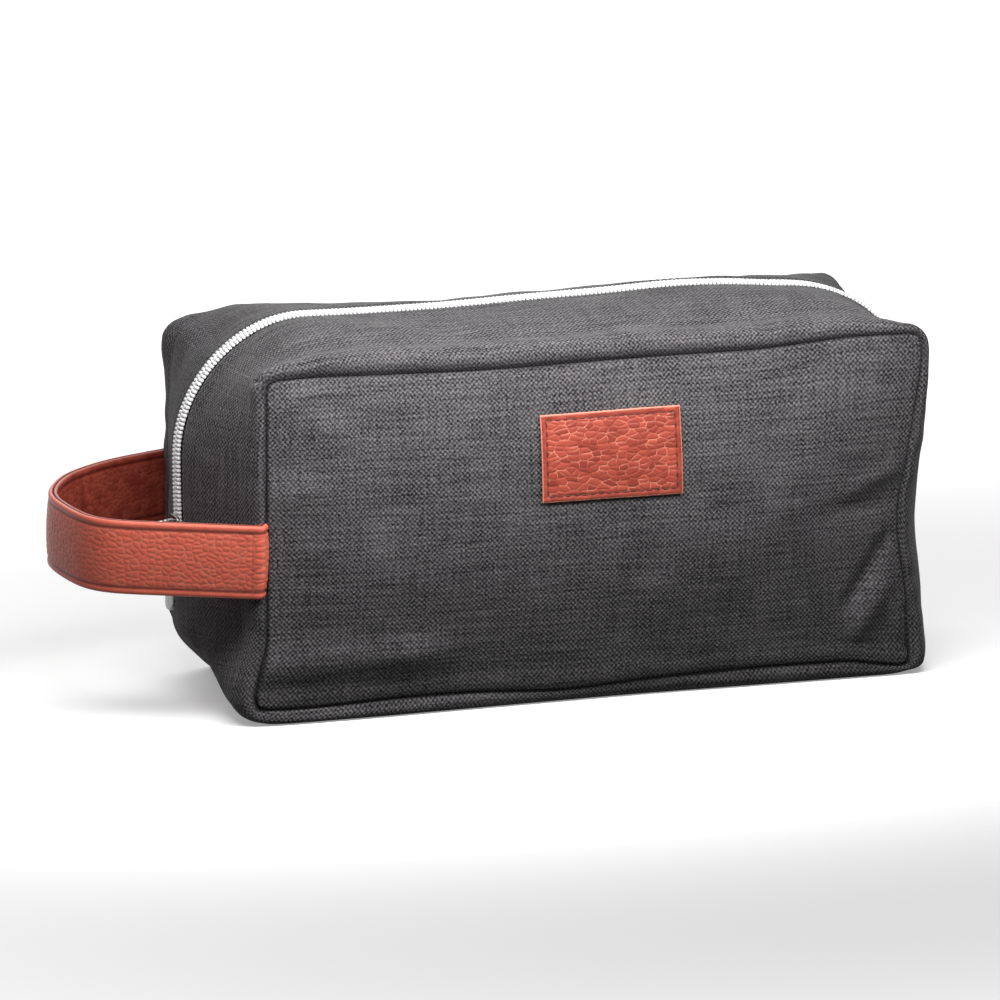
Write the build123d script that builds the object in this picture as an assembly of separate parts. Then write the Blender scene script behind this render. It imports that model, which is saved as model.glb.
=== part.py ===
from build123d import *
import os
from math import cos, radians, sin

os.makedirs("parts", exist_ok=True)

# The origin is the middle of the flat base, +X runs along the bag, -Y is its front, in mm.

# Front and back panels, measured on their seams
panel_length = 260.0
panel_bottom = 6.0
panel_top = 129.0
panel_corner = 14.0
panel_bulge = 6.0
seam_depth = 106.0

# The band between the panels, measured on the zip line half way back
end_bulge = 13.5
top_rise = 13.6
band_top_corner = 50.0
band_base_corner = 18.0
base_slack = 8.0
cross_seam_height = 53.0

# Layers, from the outside in
fabric_thickness = 0.9
tape_thickness = 0.6
lining_thickness = 0.35
label_thickness = 1.6
layer_gap = 0.1
moving_gap = 0.4

# Zip: two rows of coil on two tapes, with the folded edges of the fabric beside them
coil_parting = 1.1
coil_half_width = 3.2
coil_height = 2.4
fabric_edge = 5.2
lining_edge = 6.5
tape_half_width = 14.0
tape_overrun = 8.0

# The two halves of the mouth, which swing open about the panels' top seams
mouth_length = 130.0

# Binding over the raw edges inside the seams
binding_width = 7.0
binding_thickness = 1.6

# Label on the front panel
label_length = 55.8
label_height = 33.0
label_middle_x = 9.0
label_middle_z = 92.7
stitch_margin = 3.0
stitch_length = 2.6
stitch_pitch = 3.9
thread_thickness = 0.7
stitch_lift = 0.15

# Zip slider and its pull tab, parked at the left end
slider_low = 60.0
slider_length = 11.0
slider_plate = 1.2
slider_flange = 1.2
slider_corner = 1.8
neck_width = 0.5
neck_length = 3.0
bridge_length = 8.0
bridge_width = 2.4
bridge_thickness = 1.2
bridge_clear = 2.8
tab_length = 32.0
tab_width = 7.0
tab_thickness = 1.6
tab_neck = 9.0
tab_arm = 1.5
tab_corner = 2.4
tab_pivot_drop = 2.4

# Handle strap: a loop of two leather layers, sewn into the left side seams
strap_width = 28.0
strap_layer = 1.25
strap_lean = 4.3
strap_front_height = 61.7
strap_root_gap = 0.5
hinge_offset = 6.0
strap_stitch_margin = 2.8

# The three bends of the strap's line: how far each corner stands out from the seams,
# where it is along the depth, and the radius that rounds it
strap_front_reach = 52.25
strap_front_y = -32.0
strap_front_bend = 14.0
strap_far_reach = 58.75
strap_far_y = 8.0
strap_far_bend = 18.0
strap_back_reach = 41.25
strap_back_y = 36.0
strap_back_bend = 24.0

half_length = panel_length / 2
half_depth = seam_depth / 2
panel_height = panel_top - panel_bottom
panel_middle_z = (panel_top + panel_bottom) / 2
end_x = half_length + end_bulge
zip_top = panel_top + top_rise
straight_top = zip_top - band_top_corner
tape_inset = fabric_thickness + layer_gap
lining_inset = tape_inset + tape_thickness + layer_gap
inner_inset = lining_inset + lining_thickness
coil_outset = coil_height - tape_inset + layer_gap
far = 2 * panel_length


def block(low, high):
    """A box between two corners."""
    size = [b - a for a, b in zip(low, high)]
    middle = [(a + b) / 2 for a, b in zip(low, high)]
    return Pos(*middle) * Box(*size)


def outline(half, low, high, top_corner, base_corner, y):
    """An upright rectangle with rounded corners, facing along the depth at y."""
    shape = Rectangle(2 * half, high - low)
    rows = shape.vertices().group_by(Axis.Y)
    shape = fillet(rows[-1], top_corner)
    shape = fillet(shape.vertices().group_by(Axis.Y)[0], base_corner)
    plane = Plane(origin=(0, y, (low + high) / 2), x_dir=(1, 0, 0), z_dir=(0, -1, 0))
    return plane * shape


def panel_outline(inset, y):
    corner = panel_corner - inset
    return outline(
        half_length - inset, panel_bottom + inset, panel_top - inset, corner, corner, y
    )


def middle_outline(inset):
    return outline(
        end_x - inset,
        panel_bottom - 2 * base_slack + inset,
        zip_top - inset,
        band_top_corner - inset,
        band_base_corner - inset,
        0,
    )


def body(inset):
    """The whole bag, its skin moved in by inset, flattened where it stands."""
    reach = half_depth - inset
    sections = [panel_outline(inset, -reach), middle_outline(inset), panel_outline(inset, reach)]
    above_floor = block((-far, -far, inset), (far, far, far))
    return loft(sections) & above_floor


def wall(outer, inner):
    """A layer of the band between two insets, cut off where the panels begin."""
    limit = half_depth - max(inner, fabric_thickness) - layer_gap
    return (body(outer) - body(inner)) & block((-far, -limit, -far), (far, limit, far))


def panel_face_y(x, z):
    """How far forward the domed front panel stands at a point."""
    across = x / half_length
    up = (z - panel_middle_z) / (panel_height / 2)
    return -half_depth - panel_bulge * (1 - across**4) * (1 - up**2)


def panel_layer(inset, thickness):
    """A sheet that follows the front panel, starting inset behind its face."""
    columns, rows = 13, 9
    grid = []
    for row in range(rows):
        z = panel_bottom + panel_height * row / (rows - 1)
        line = []
        for column in range(columns):
            x = half_length * (2 * column / (columns - 1) - 1)
            line.append((x, panel_face_y(x, z) + inset, z))
        grid.append(line)
    face = Face.make_surface_from_array_of_points(grid)
    return extrude(face, thickness, dir=(0, 1, 0))


def panel_prism(inset):
    """Everything in front of and behind a panel's own outline."""
    return extrude(panel_outline(inset, far), 2 * far)


def back_of(shape):
    return mirror(shape, about=Plane.XZ)


def right_of(shape):
    return mirror(shape, about=Plane.YZ)


# Panels and their linings
front_panel = panel_layer(0, fabric_thickness) & panel_prism(0)
front_lining = panel_layer(lining_inset, lining_thickness) & panel_prism(lining_inset)

# Bottom band and its lining, up to the cross seams on both ends
below_cross_seam = block((-far, -far, -far), (far, far, cross_seam_height - layer_gap / 2))
fabric_wall = wall(0, fabric_thickness)
lining_wall = wall(lining_inset, inner_inset)
bottom_gusset = fabric_wall & below_cross_seam
bottom_lining = lining_wall & below_cross_seam


def zip_strip(layer, near, away, low):
    """The front half of a layer beside the zip, as its left end and its top."""
    above = block((-far, -away, low), (far, -near, far)) & layer
    half_mouth = mouth_length / 2
    left = above & block((-far, -far, -far), (-half_mouth - moving_gap / 2, far, far))
    edge = half_mouth - moving_gap / 2
    top = above & block((-edge, -far, panel_middle_z), (edge, far, far))
    return left, top


seam_start = cross_seam_height + layer_gap / 2
tape_start = cross_seam_height - tape_overrun
coil_near = coil_parting / 2
strips = {
    "zip_gusset": zip_strip(fabric_wall, fabric_edge, far, seam_start),
    "zip_lining": zip_strip(lining_wall, lining_edge, far, seam_start),
    "zip_tape": zip_strip(
        wall(tape_inset, tape_inset + tape_thickness), coil_near, tape_half_width, tape_start
    ),
    "zip_coil": zip_strip(
        wall(-coil_outset, tape_inset - layer_gap), coil_near, coil_half_width, seam_start
    ),
}

# Binding round the raw edges of each seam, inside the corner of the linings
binding_inset = inner_inset + layer_gap
binding_y = -half_depth + binding_inset
binding_ring = panel_outline(binding_inset, binding_y + binding_thickness) - panel_outline(
    binding_inset + binding_width, binding_y + binding_thickness
)
front_binding = extrude(binding_ring, binding_thickness)

# Label and its stitches
label_low_x = label_middle_x - label_length / 2
label_low_z = label_middle_z - label_height / 2
label_patch = panel_layer(-label_thickness, label_thickness) & block(
    (label_low_x, -far, label_low_z), (label_low_x + label_length, 0, label_low_z + label_height)
)


def label_stitch(x, z, along_x):
    """One stitch lying on the label."""
    wide = stitch_length if along_x else thread_thickness
    tall = thread_thickness if along_x else stitch_length
    y = panel_face_y(x, z) - label_thickness - stitch_lift - thread_thickness / 2
    return Pos(x, y, z) * Box(wide, thread_thickness, tall)


def stitch_places(length):
    """Evenly spaced stitch centres along a row between two corners."""
    row = length - 2 * stitch_margin
    count = round(row / stitch_pitch)
    return [row * (place + 0.5) / count - row / 2 for place in range(count)]


label_stitches = []
for side in (-1, 1):
    row_z = label_middle_z + side * (label_height / 2 - stitch_margin)
    row_x = label_middle_x + side * (label_length / 2 - stitch_margin)
    for place in stitch_places(label_length):
        label_stitches.append(label_stitch(label_middle_x + place, row_z, True))
    for place in stitch_places(label_height):
        label_stitches.append(label_stitch(row_x, label_middle_z + place, False))

# Zip slider: two plates round the coils, joined by a neck between the rows
coil_face_x = -end_x - coil_outset
plate_in_x = coil_face_x - moving_gap
plate_out_x = plate_in_x - slider_plate
tape_out_x = -end_x + tape_inset
tape_in_x = tape_out_x + tape_thickness
back_plate_x = tape_in_x + moving_gap
slider_high = slider_low + slider_length
flange_in = coil_half_width + moving_gap
flange_out = flange_in + slider_flange
bridge_out_x = plate_out_x - bridge_clear
pivot_x = plate_out_x - bridge_clear / 2
bridge_low = slider_low + (slider_length - bridge_length) / 2
bridge_high = bridge_low + bridge_length
pivot_z = bridge_high - bridge_thickness - tab_pivot_drop / 2
slide_travel = straight_top - slider_high


def slider_plate_at(x):
    """One plate of the slider, with rounded corners."""
    plate = block((x, -flange_out, slider_low), (x + slider_plate, flange_out, slider_high))
    return fillet(plate.edges().filter_by(Axis.X), slider_corner)


flange = block((plate_in_x, flange_in, slider_low), (tape_out_x - moving_gap, flange_out, slider_high))
flange = flange & block(
    (-far, -far, slider_low + slider_corner), (far, far, slider_high - slider_corner)
)
neck = block(
    (plate_in_x, -neck_width / 2, slider_high - slider_corner - neck_length),
    (back_plate_x, neck_width / 2, slider_high - slider_corner),
)
slider_body = slider_plate_at(plate_out_x) + flange + back_of(flange) + neck
slider_body = slider_body + slider_plate_at(back_plate_x)
bridge = block(
    (bridge_out_x - bridge_thickness, -bridge_width / 2, bridge_low),
    (plate_out_x, bridge_width / 2, bridge_high),
)
bridge_hole = block(
    (bridge_out_x, -bridge_width, bridge_low + bridge_thickness),
    (plate_out_x, bridge_width, bridge_high - bridge_thickness),
)
bridge = fillet(
    bridge.edges().filter_by(Axis.Y).group_by(Axis.X)[0], bridge_thickness
) - bridge_hole

# Pull tab: a crossbar through the bridge, two arms past it and a plain plate
arm_in = bridge_width / 2 + moving_gap
arm_out = arm_in + tab_arm
crossbar = Pos(pivot_x, 0, pivot_z) * Rot(X=90) * Cylinder(tab_thickness / 2, 2 * arm_out)
arm = block(
    (pivot_x - tab_thickness / 2, arm_in, pivot_z - tab_neck),
    (pivot_x + tab_thickness / 2, arm_out, pivot_z),
)
tab_plate = block(
    (pivot_x - tab_thickness / 2, -tab_width / 2, pivot_z - tab_length),
    (pivot_x + tab_thickness / 2, tab_width / 2, pivot_z - tab_neck),
)
tab_plate = fillet(tab_plate.edges().filter_by(Axis.X), tab_corner)
tab_slot = block(
    (-far, -arm_in, pivot_z - tab_neck - tab_corner), (0, arm_in, pivot_z - tab_neck)
)
shoulder = block(
    (pivot_x - tab_thickness / 2, arm_in, pivot_z - tab_neck - tab_corner),
    (pivot_x + tab_thickness / 2, arm_out, pivot_z - tab_neck),
)
pull_tab = crossbar + arm + back_of(arm) + (tab_plate - tab_slot) + shoulder + back_of(shoulder)

# Handle: a plan line with tangent bends, in a plane that leans up towards the back
root_x = -half_length - strap_root_gap - strap_layer
root_y = half_depth + strap_layer
strap_line = FilletPolyline(
    (root_x, -root_y),
    (root_x - strap_front_reach, strap_front_y),
    (root_x - strap_far_reach, strap_far_y),
    (root_x - strap_back_reach, strap_back_y),
    (root_x, root_y),
    radius=(strap_front_bend, strap_far_bend, strap_back_bend),
)
lean = radians(strap_lean)
strap_plane = Plane(
    origin=(0, 0, strap_front_height + half_depth * sin(lean) / cos(lean)),
    x_dir=(1, 0, 0),
    z_dir=(0, -sin(lean), cos(lean)),
)


def strap_side(distance, side):
    """The strip between the strap's line and a distance to one side of it."""
    return make_face(offset(strap_line, distance, side=side, closed=True).edges())


def strap_band(start, thickness, side, low, high):
    """A layer that follows the strap, start away from its line, between two heights."""
    band = strap_side(start + thickness, side) - strap_side(start, side)
    return strap_plane * Pos(0, 0, low) * extrude(band, high - low)


def split_at_hinge(shape):
    """The sewn-in end of a strap layer, front and back, and the loop that swings."""
    stub_radius = strap_width / 2 + moving_gap
    ends = shape & (strap_plane * (hinge_barrel(stub_radius) + root_block(0)))
    loop = shape - strap_plane * (hinge_barrel(stub_radius + moving_gap) + root_block(moving_gap))
    return ends, loop


def hinge_barrel(radius):
    return Pos(hinge_x, 0, 0) * Rot(X=90) * Cylinder(radius, far)


def root_block(reach):
    return block((hinge_x - reach, -far, -far), (0, far, far))


hinge_x = root_x - hinge_offset
half_strap = strap_width / 2
half_gap = layer_gap / 2
outer_layer = strap_band(half_gap, strap_layer, Side.LEFT, -half_strap, half_strap)
inner_layer = strap_band(half_gap, strap_layer, Side.RIGHT, -half_strap, half_strap)
outer_ends, outer_loop = split_at_hinge(outer_layer)
inner_ends, inner_loop = split_at_hinge(inner_layer)
thread_start = half_gap + strap_layer + half_gap
thread_rows = []
for middle in (half_strap - strap_stitch_margin, strap_stitch_margin - half_strap):
    low = middle - thread_thickness / 2
    row = strap_band(thread_start, thread_thickness / 2, Side.LEFT, low, low + thread_thickness)
    thread_rows.append(split_at_hinge(row))

in_front = block((-far, -far, -far), (far, 0, far))
behind = block((-far, 0, -far), (far, far, far))

nodes = {
    "front_panel": [front_panel],
    "back_panel": [back_of(front_panel)],
    "bottom_gusset": [bottom_gusset],
    "front_lining": [front_lining],
    "back_lining": [back_of(front_lining)],
    "bottom_lining": [bottom_lining],
    "front_seam_binding": [front_binding],
    "back_seam_binding": [back_of(front_binding)],
    "label_patch": [label_patch],
    "label_stitching": label_stitches,
    "slider_body": [slider_body + bridge],
    "pull_tab": [pull_tab],
    "handle_outer_layer": [outer_loop],
    "handle_inner_layer": [inner_loop],
    "handle_stitching": [loop for ends, loop in thread_rows],
    "handle_end_front": [outer_ends & in_front, inner_ends & in_front],
    "handle_end_back": [outer_ends & behind, inner_ends & behind],
    "handle_end_stitching": [ends for ends, loop in thread_rows],
}
for layer, (left, top) in strips.items():
    nodes[layer + "_front_left"] = [left]
    nodes[layer + "_front_right"] = [right_of(left)]
    nodes[layer + "_back_left"] = [back_of(left)]
    nodes[layer + "_back_right"] = [right_of(back_of(left))]
    nodes[layer + "_front_top"] = [top]
    nodes[layer + "_back_top"] = [back_of(top)]

for name, shapes in nodes.items():
    solids = [solid for shape in shapes for solid in shape.solids()]
    export_step(Compound(children=solids), f"parts/{name}.step")

print("slide travel", round(slide_travel, 2))
print("pull tab pivot", round(pivot_x, 3), round(pivot_z, 3))
print("handle hinge", round(hinge_x, 3), strap_plane.origin, strap_plane.y_dir)
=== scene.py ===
import math
import bmesh
import bpy
import numpy as np
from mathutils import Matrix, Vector


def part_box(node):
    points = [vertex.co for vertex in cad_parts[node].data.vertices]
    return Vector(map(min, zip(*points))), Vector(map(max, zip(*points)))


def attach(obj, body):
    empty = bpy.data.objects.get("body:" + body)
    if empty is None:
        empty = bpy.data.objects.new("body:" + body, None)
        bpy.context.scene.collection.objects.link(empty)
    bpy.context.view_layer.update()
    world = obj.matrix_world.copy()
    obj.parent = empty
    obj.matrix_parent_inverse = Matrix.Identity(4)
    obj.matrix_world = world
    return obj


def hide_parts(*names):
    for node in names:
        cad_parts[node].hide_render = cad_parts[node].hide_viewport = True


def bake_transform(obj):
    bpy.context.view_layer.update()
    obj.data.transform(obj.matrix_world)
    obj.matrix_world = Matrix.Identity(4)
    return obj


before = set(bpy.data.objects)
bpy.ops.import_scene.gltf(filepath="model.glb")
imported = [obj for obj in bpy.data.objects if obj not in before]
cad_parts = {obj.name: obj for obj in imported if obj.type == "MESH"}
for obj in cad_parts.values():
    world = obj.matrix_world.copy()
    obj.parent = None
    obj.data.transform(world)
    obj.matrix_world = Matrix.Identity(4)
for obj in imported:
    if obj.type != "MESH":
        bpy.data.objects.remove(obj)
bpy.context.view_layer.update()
print("frame loaded:", len(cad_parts), "nodes")

mm = 0.001  # shapes are worked out in millimetres and stored in metres
panelLow, panelHigh = (np.array(corner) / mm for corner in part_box("front_panel"))


# Small tools for numbers

def smooth(value, start, end):
    share = np.clip((value - start) / (end - start), 0, 1)
    return share * share * (3 - 2 * share)


def bell(value, middle, width):
    return np.exp(-(((value - middle) / width) ** 2))


def between(first, last, share):
    return first + (last - first) * share


def rise(value, height, start, end):
    return height * smooth(value, start, end)


def humps(value, *shapes):
    # Each hump has a height, a middle and a width
    return sum(height * bell(value, middle, width) for height, middle, width in shapes)


def unit(vectors):
    return vectors / np.maximum(np.linalg.norm(vectors, axis=-1, keepdims=True), 1e-9)


def dot(first, second):
    return (first * second).sum(-1, keepdims=True)


def ripple(places, wavelength, seed, waves=16):
    # Soft, irregular swell: plane waves of mixed direction and length
    rng = np.random.default_rng(seed)
    directions = unit(rng.normal(size=(waves, places.shape[-1])))
    turns = 2 * np.pi / wavelength * rng.uniform(0.6, 1.6, waves)
    phases = rng.uniform(0, 2 * np.pi, waves)
    return np.sin(places @ (directions * turns[:, None]).T + phases).sum(-1) * math.sqrt(2 / waves)


def ripples(places, *swells):
    # Each swell has a height, a wavelength and a seed
    return sum(height * ripple(places, wavelength, seed) for height, wavelength, seed in swells)


# Small tools for meshes

def gridFaces(rows, columns, closed=False, looped=False):
    # closed joins the last column to the first, looped the last row to the first
    index = np.arange(rows * columns).reshape(rows, columns)
    if closed:
        index = np.hstack([index, index[:, :1]])
    if looped:
        index = np.vstack([index, index[:1]])
    return np.stack([index[:-1, :-1], index[:-1, 1:], index[1:, 1:], index[1:, :-1]], -1).reshape(-1, 4)


def cappedFaces(rows, columns):
    # A closed section followed along a line, with a face over each end
    faces = [list(face) for face in gridFaces(rows, columns, True)]
    return faces + [list(range(columns))[::-1], list(range((rows - 1) * columns, rows * columns))]


def addObject(name, data):
    made = bpy.data.objects.new(name, data)
    bpy.context.scene.collection.objects.link(made)
    return made


def shadeSmooth(mesh):
    mesh.polygons.foreach_set("use_smooth", [True] * len(mesh.polygons))


def rework(mesh, change):
    work = bmesh.new()
    work.from_mesh(mesh)
    change(work)
    work.to_mesh(mesh)
    work.free()


def newPiece(name, points, faces, material, uv=None, outward=None, values=None):
    # outward: "centre" turns a sheet's faces away from the bag's middle, "volume" a closed shell's
    points = np.asarray(points, float).reshape(-1, 3)
    faces = [list(face) for face in faces]
    if outward:
        corners = points[np.array([face[:3] for face in faces])]
        normals = np.cross(corners[:, 1] - corners[:, 0], corners[:, 2] - corners[:, 0])
        away = corners[:, 0] - (bagMiddle if outward == "centre" else points.mean(0))
        if (normals * away).sum() < 0:
            faces = [face[::-1] for face in faces]
    mesh = bpy.data.meshes.new(name)
    mesh.from_pydata((points * mm).tolist(), [], faces)
    mesh.materials.append(material)
    shadeSmooth(mesh)
    if uv is not None:
        corner = np.empty(len(mesh.loops), int)
        mesh.loops.foreach_get("vertex_index", corner)
        layer = mesh.uv_layers.new(name="cloth")
        layer.uv.foreach_set("vector", np.asarray(uv, float).reshape(-1, 2)[corner].ravel())
    for key, value in (values or {}).items():
        mesh.attributes.new(key, "FLOAT", "POINT").data.foreach_set("value", np.ravel(value))
    mesh.update()
    return addObject(name, mesh)


def sharpenBorder(work):
    # Cut edges are sharp, so that they don't change the shading of the face beside them
    for edge in work.edges:
        edge.smooth = not edge.is_boundary


def thicken(piece, thickness):
    rework(piece.data, sharpenBorder)
    shell = piece.modifiers.new("thickness", "SOLIDIFY")
    shell.thickness = thickness * mm
    shell.offset = -1
    return piece


# Lines that are followed by length

def halfOutline(reach, low, high, baseCorner, topCorner):
    # From the middle of the base, up the left side, to the middle of the top
    turn = np.linspace(0, np.pi / 2, 33)
    base = np.column_stack([
        baseCorner - reach - baseCorner * np.sin(turn), low + baseCorner * (1 - np.cos(turn))
    ])
    top = np.column_stack([
        topCorner - reach - topCorner * np.cos(turn), high - topCorner * (1 - np.sin(turn))
    ])
    return np.vstack([[0, low], base, top, [0, high]])


def lengths(points, axis=0):
    # Distance travelled along a line, or along one axis of a grid
    first = np.take(points, [0], axis)
    return np.cumsum(np.linalg.norm(np.diff(points, axis=axis, prepend=first), axis=-1), axis)


def onLine(line, length):
    run = lengths(line)
    return np.stack([np.interp(length, run, line[:, axis]) for axis in range(line.shape[1])], -1)


def inSpace(flat, y=0.0, mirror=1):
    # Places on a plan of x and z, put into the bag's frame
    x, z = flat[..., 0] * mirror, flat[..., 1]
    return np.stack([x, np.broadcast_to(y, x.shape), z], -1)


def outlineNormal(line, length, spread=0.6):
    # Points away from the bag, in the outline's own plane
    ahead = unit(onLine(line, length + spread) - onLine(line, length - spread))
    return np.stack([-ahead[..., 1], ahead[..., 0]], -1)


# The bag's skin

bag = {
    "seamReach": panelHigh[0] + 0.3, "seamLow": panelLow[2] - 0.3, "seamTop": panelHigh[2] + 0.3,
    "seamCorner": 4.6, "seamDepth": 53.0,
    "zipReach": 143.5, "zipTop": 142.6, "zipBaseCorner": 18.0, "zipTopCorner": 50.0,
    "crossSeam": 53.0, "cloth": 0.5,
    "edgeStop": 3.6, "bandStop": 6.0,  # the flat cloth stops this far from a seam, and its edge rolls
    "rollDepth": 1.7, "allowance": 2.4,  # where two rolled edges meet, and how far they run on inside
    "foldEdge": 5.2, "foldRoll": 0.8, "foldReturn": 6.0,  # beside the zip
    "crossRoll": 1.3, "crossTail": 1.5, "crossSteps": 5,
    "hollow": 2.2, "shadeUnderOverhang": 3.6,  # how far the painted shade in a seam's hollow reaches, and how much more at the top
    "paintedShadeFade": (0.2, 1),
    "step": 1.5, "closeTo": 5, "closer": 4,  # grid step, and how much finer it is near the corners
}
quarters = [(front, right) for front in (True, False) for right in (False, True)]
bagMiddle = np.array([0, 0, (bag["seamLow"] + bag["seamTop"]) / 2])
seamLine = halfOutline(
    bag["seamReach"], bag["seamLow"], bag["seamTop"], bag["seamCorner"], bag["seamCorner"]
)
zipLine = halfOutline(bag["zipReach"], 0, bag["zipTop"], bag["zipBaseCorner"], bag["zipTopCorner"])


def crossingLength(line):
    return float(np.interp(bag["crossSeam"], line[:, 1], lengths(line)))


bandParts = {  # length ranges on the seam line and on the zip line
    "lower": ((0, crossingLength(seamLine)), (0, crossingLength(zipLine))),
    "upper": (
        (crossingLength(seamLine), lengths(seamLine)[-1]),
        (crossingLength(zipLine), lengths(zipLine)[-1]),
    ),
}
fullness = {  # how boxy the band stands between the seams: a high power is a flat top with round edges
    "base": 14.0, "topFront": 3.4, "topBack": 2.4, "leftFront": 2.2, "leftBack": 1.5, "right": 4.2,
    "fromBaseToEnd": (0.6, 0.86), "fromEndToTop": (0.12, 0.62),
}
# How the bag has settled. A rise has a height, start and end, and a hump a height, middle and
# width. A pair is a start and end, or a middle and width
slump = {
    "rightEnd": (50, 128), "leftEnd": (70, 128), "frontHalf": (-10, 45), "seamSide": (32, 50),
    "topPart": (108, 127), "offTable": (0, 6), "lift": 1.0, "lowest": 0.05,
    "waist": 2.4, "seamWaist": (3.0, 36, 52), "waistHeight": (60, 27),
    "rightLean": (2.2, 62, 127), "rightBulges": ((2.0, 120, 14), (1.2, 4, 8)),
    "leftLean": 2.4, "leftFoot": (5.4, -34, -6), "leftHollow": (1.6, 0, 30), "hollowHeight": (90, 45),
    "topRise": (2.6, 62, 108), "topWaves": ((-0.9, -36, 34), (0.6, -108, 18)), "topHeight": (96, 126),
    "crest": ((1.7, -5, 60), (2.5, 60, 32), (-2.4, 98, 18), (1.4, 134, 12)),
    "crestHeight": (112, 134), "crestDepth": (0, 26),
    "backCorners": ((5.6, -108, 38), (3.6, 130, 18)), "backDepth": (42, 18),
    "frontCorner": (3.0, 132, 20), "frontDepth": (-26, 18),
    "backRight": (5, 105, 128), "backLeft": (1.8, 105, 128), "backSeam": (50, 18),
    "baseWaves": ((0.6, 70, 30), (-1.4, -112, 26), (-1.9, -10, 26)), "baseRight": (3.2, 100, 127),
    "baseHeight": (6, 12),
    "tuckHeight": (-28, -4), "tuckDepth": (-58, 2), "tuckEnd": (75, 125), "tuckIn": 12.5, "tuckUp": 2,
    "bulge": 0.6, "baseBulges": ((2.0, -95, 50), (-1.2, 20, 40)), "bulgeHeight": (1.2, 3),
    "behindLeft": (-60, 30), "behindRight": (25, 45), "behindEnd": (108, 122), "behindDepth": (1.1, 9, 4),
    "crossPull": (4.5, 53, 16), "crossEnd": (129, 134), "crossFront": (42, 54),
}


def settle(points):
    # Moves points of the plain form to where the filled and slumped bag has them
    moved = points.copy()
    x, y, z = points[..., 0], points[..., 1], points[..., 2]
    right, left = smooth(x, *slump["rightEnd"]), smooth(-x, *slump["leftEnd"])
    front, outer = smooth(-y, *slump["frontHalf"]), smooth(np.abs(y), *slump["seamSide"])
    top, offTable = smooth(z, *slump["topPart"]), smooth(z, *slump["offTable"])
    # the right end has a waist, deepest at its seams, and the left end a foot
    waist = (slump["waist"] + rise(np.abs(y), *slump["seamWaist"])) * bell(z, *slump["waistHeight"])
    moved[..., 0] += right * (rise(z, *slump["rightLean"]) + humps(z, *slump["rightBulges"]) - waist)
    foot = slump["leftLean"] - rise(-z, *slump["leftFoot"])
    hollow = humps(y, slump["leftHollow"]) * bell(z, *slump["hollowHeight"])
    moved[..., 0] += left * (front * foot - hollow)
    # the top rises towards the right, and its back corners are full
    lift = rise(x, *slump["topRise"]) + humps(x, *slump["topWaves"])
    moved[..., 2] += lift * smooth(z, *slump["topHeight"])
    crest = humps(x, *slump["crest"]) * smooth(z, *slump["crestHeight"])
    moved[..., 2] += crest * bell(y, *slump["crestDepth"])
    backCorners = humps(x, *slump["backCorners"]) * bell(y, *slump["backDepth"])
    frontCorner = humps(x, slump["frontCorner"]) * bell(y, *slump["frontDepth"])
    moved[..., 2] += (backCorners - frontCorner) * top
    backReach = rise(x, *slump["backRight"]) - rise(-x, *slump["backLeft"])
    moved[..., 0] += backReach * bell(y, *slump["backSeam"]) * top
    # the lower edge waves, and the lower left end turns under towards the back
    dip = humps(x, *slump["baseWaves"]) - rise(x, *slump["baseRight"])
    moved[..., 2] += dip * bell(z, *slump["baseHeight"]) * offTable
    tuck = smooth(-z, *slump["tuckHeight"]) * smooth(y, *slump["tuckDepth"])
    tuck = tuck * smooth(-x, *slump["tuckEnd"])
    moved[..., 0] += slump["tuckIn"] * tuck
    moved[..., 2] += slump["tuckUp"] * tuck
    # the base bulges, and the table flattens it
    bulge = slump["bulge"] + humps(x, *slump["baseBulges"])
    moved[..., 1] += np.sign(y) * bulge * bell(z, *slump["bulgeHeight"]) * outer
    # the cloth behind the zip stands a little higher than the zip
    alongZip = smooth(x, *slump["behindRight"]) * (1 - smooth(x, *slump["behindEnd"]))
    behind = bell(x, *slump["behindLeft"]) + alongZip
    moved[..., 2] += behind * humps(y, slump["behindDepth"]) * top
    # the right cross seam is pulled down towards the front
    pull = humps(z, slump["crossPull"]) * smooth(x, *slump["crossEnd"])
    moved[..., 2] -= pull * smooth(-y, *slump["crossFront"])
    moved[..., 2] += slump["lift"] * offTable
    moved[..., 2] = np.maximum(moved[..., 2], slump["lowest"])
    return moved


faceForm = {  # the filled front: a dome with swells, calm near the seams, and a lip at the base
    "dome": 8.0, "domePower": 4, "calmAcross": (0.02, 0.22), "calmUp": (0.03, 0.35),
    "swells": ((0.4, 70, 3), (0.12, 32, 4)), "lip": 0.6, "lipWidth": 3.0, "foldEnds": (-0.25, 0.25),
}


def panelFaceY(x, z):
    # How far forward the filled front panel stands, wrinkles included
    across = np.abs(x / bag["seamReach"])
    middle = (bag["seamLow"] + bag["seamTop"]) / 2
    up = np.abs((z - middle) / (bag["seamTop"] - middle))
    dome = 1 - np.clip(across, 0, 1) ** faceForm["domePower"]
    dome = faceForm["dome"] * dome * (1 - np.clip(up**2, 0, 1))
    inside = smooth(1 - across, *faceForm["calmAcross"]) * smooth(1 - up, *faceForm["calmUp"])
    swell = ripples(np.stack([x, z], -1), *faceForm["swells"])
    lip = humps(z, (faceForm["lip"], bag["seamLow"] + bag["edgeStop"], faceForm["lipWidth"]))
    return -bag["seamDepth"] - dome - swell * inside - creases(x, z) - lip


def ridge(x, z, start, end, width, height):
    # A soft fold between two points of the panel
    start, end = np.array(start, float), np.array(end, float)
    along = end - start
    length = np.linalg.norm(along)
    share = ((x - start[0]) * along[0] + (z - start[1]) * along[1]) / length**2
    beside = ((x - start[0]) * along[1] - (z - start[1]) * along[0]) / length
    fade = smooth(share, *faceForm["foldEnds"]) * smooth(1 - share, *faceForm["foldEnds"])
    return height * bell(beside, 0, width) * fade


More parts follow.
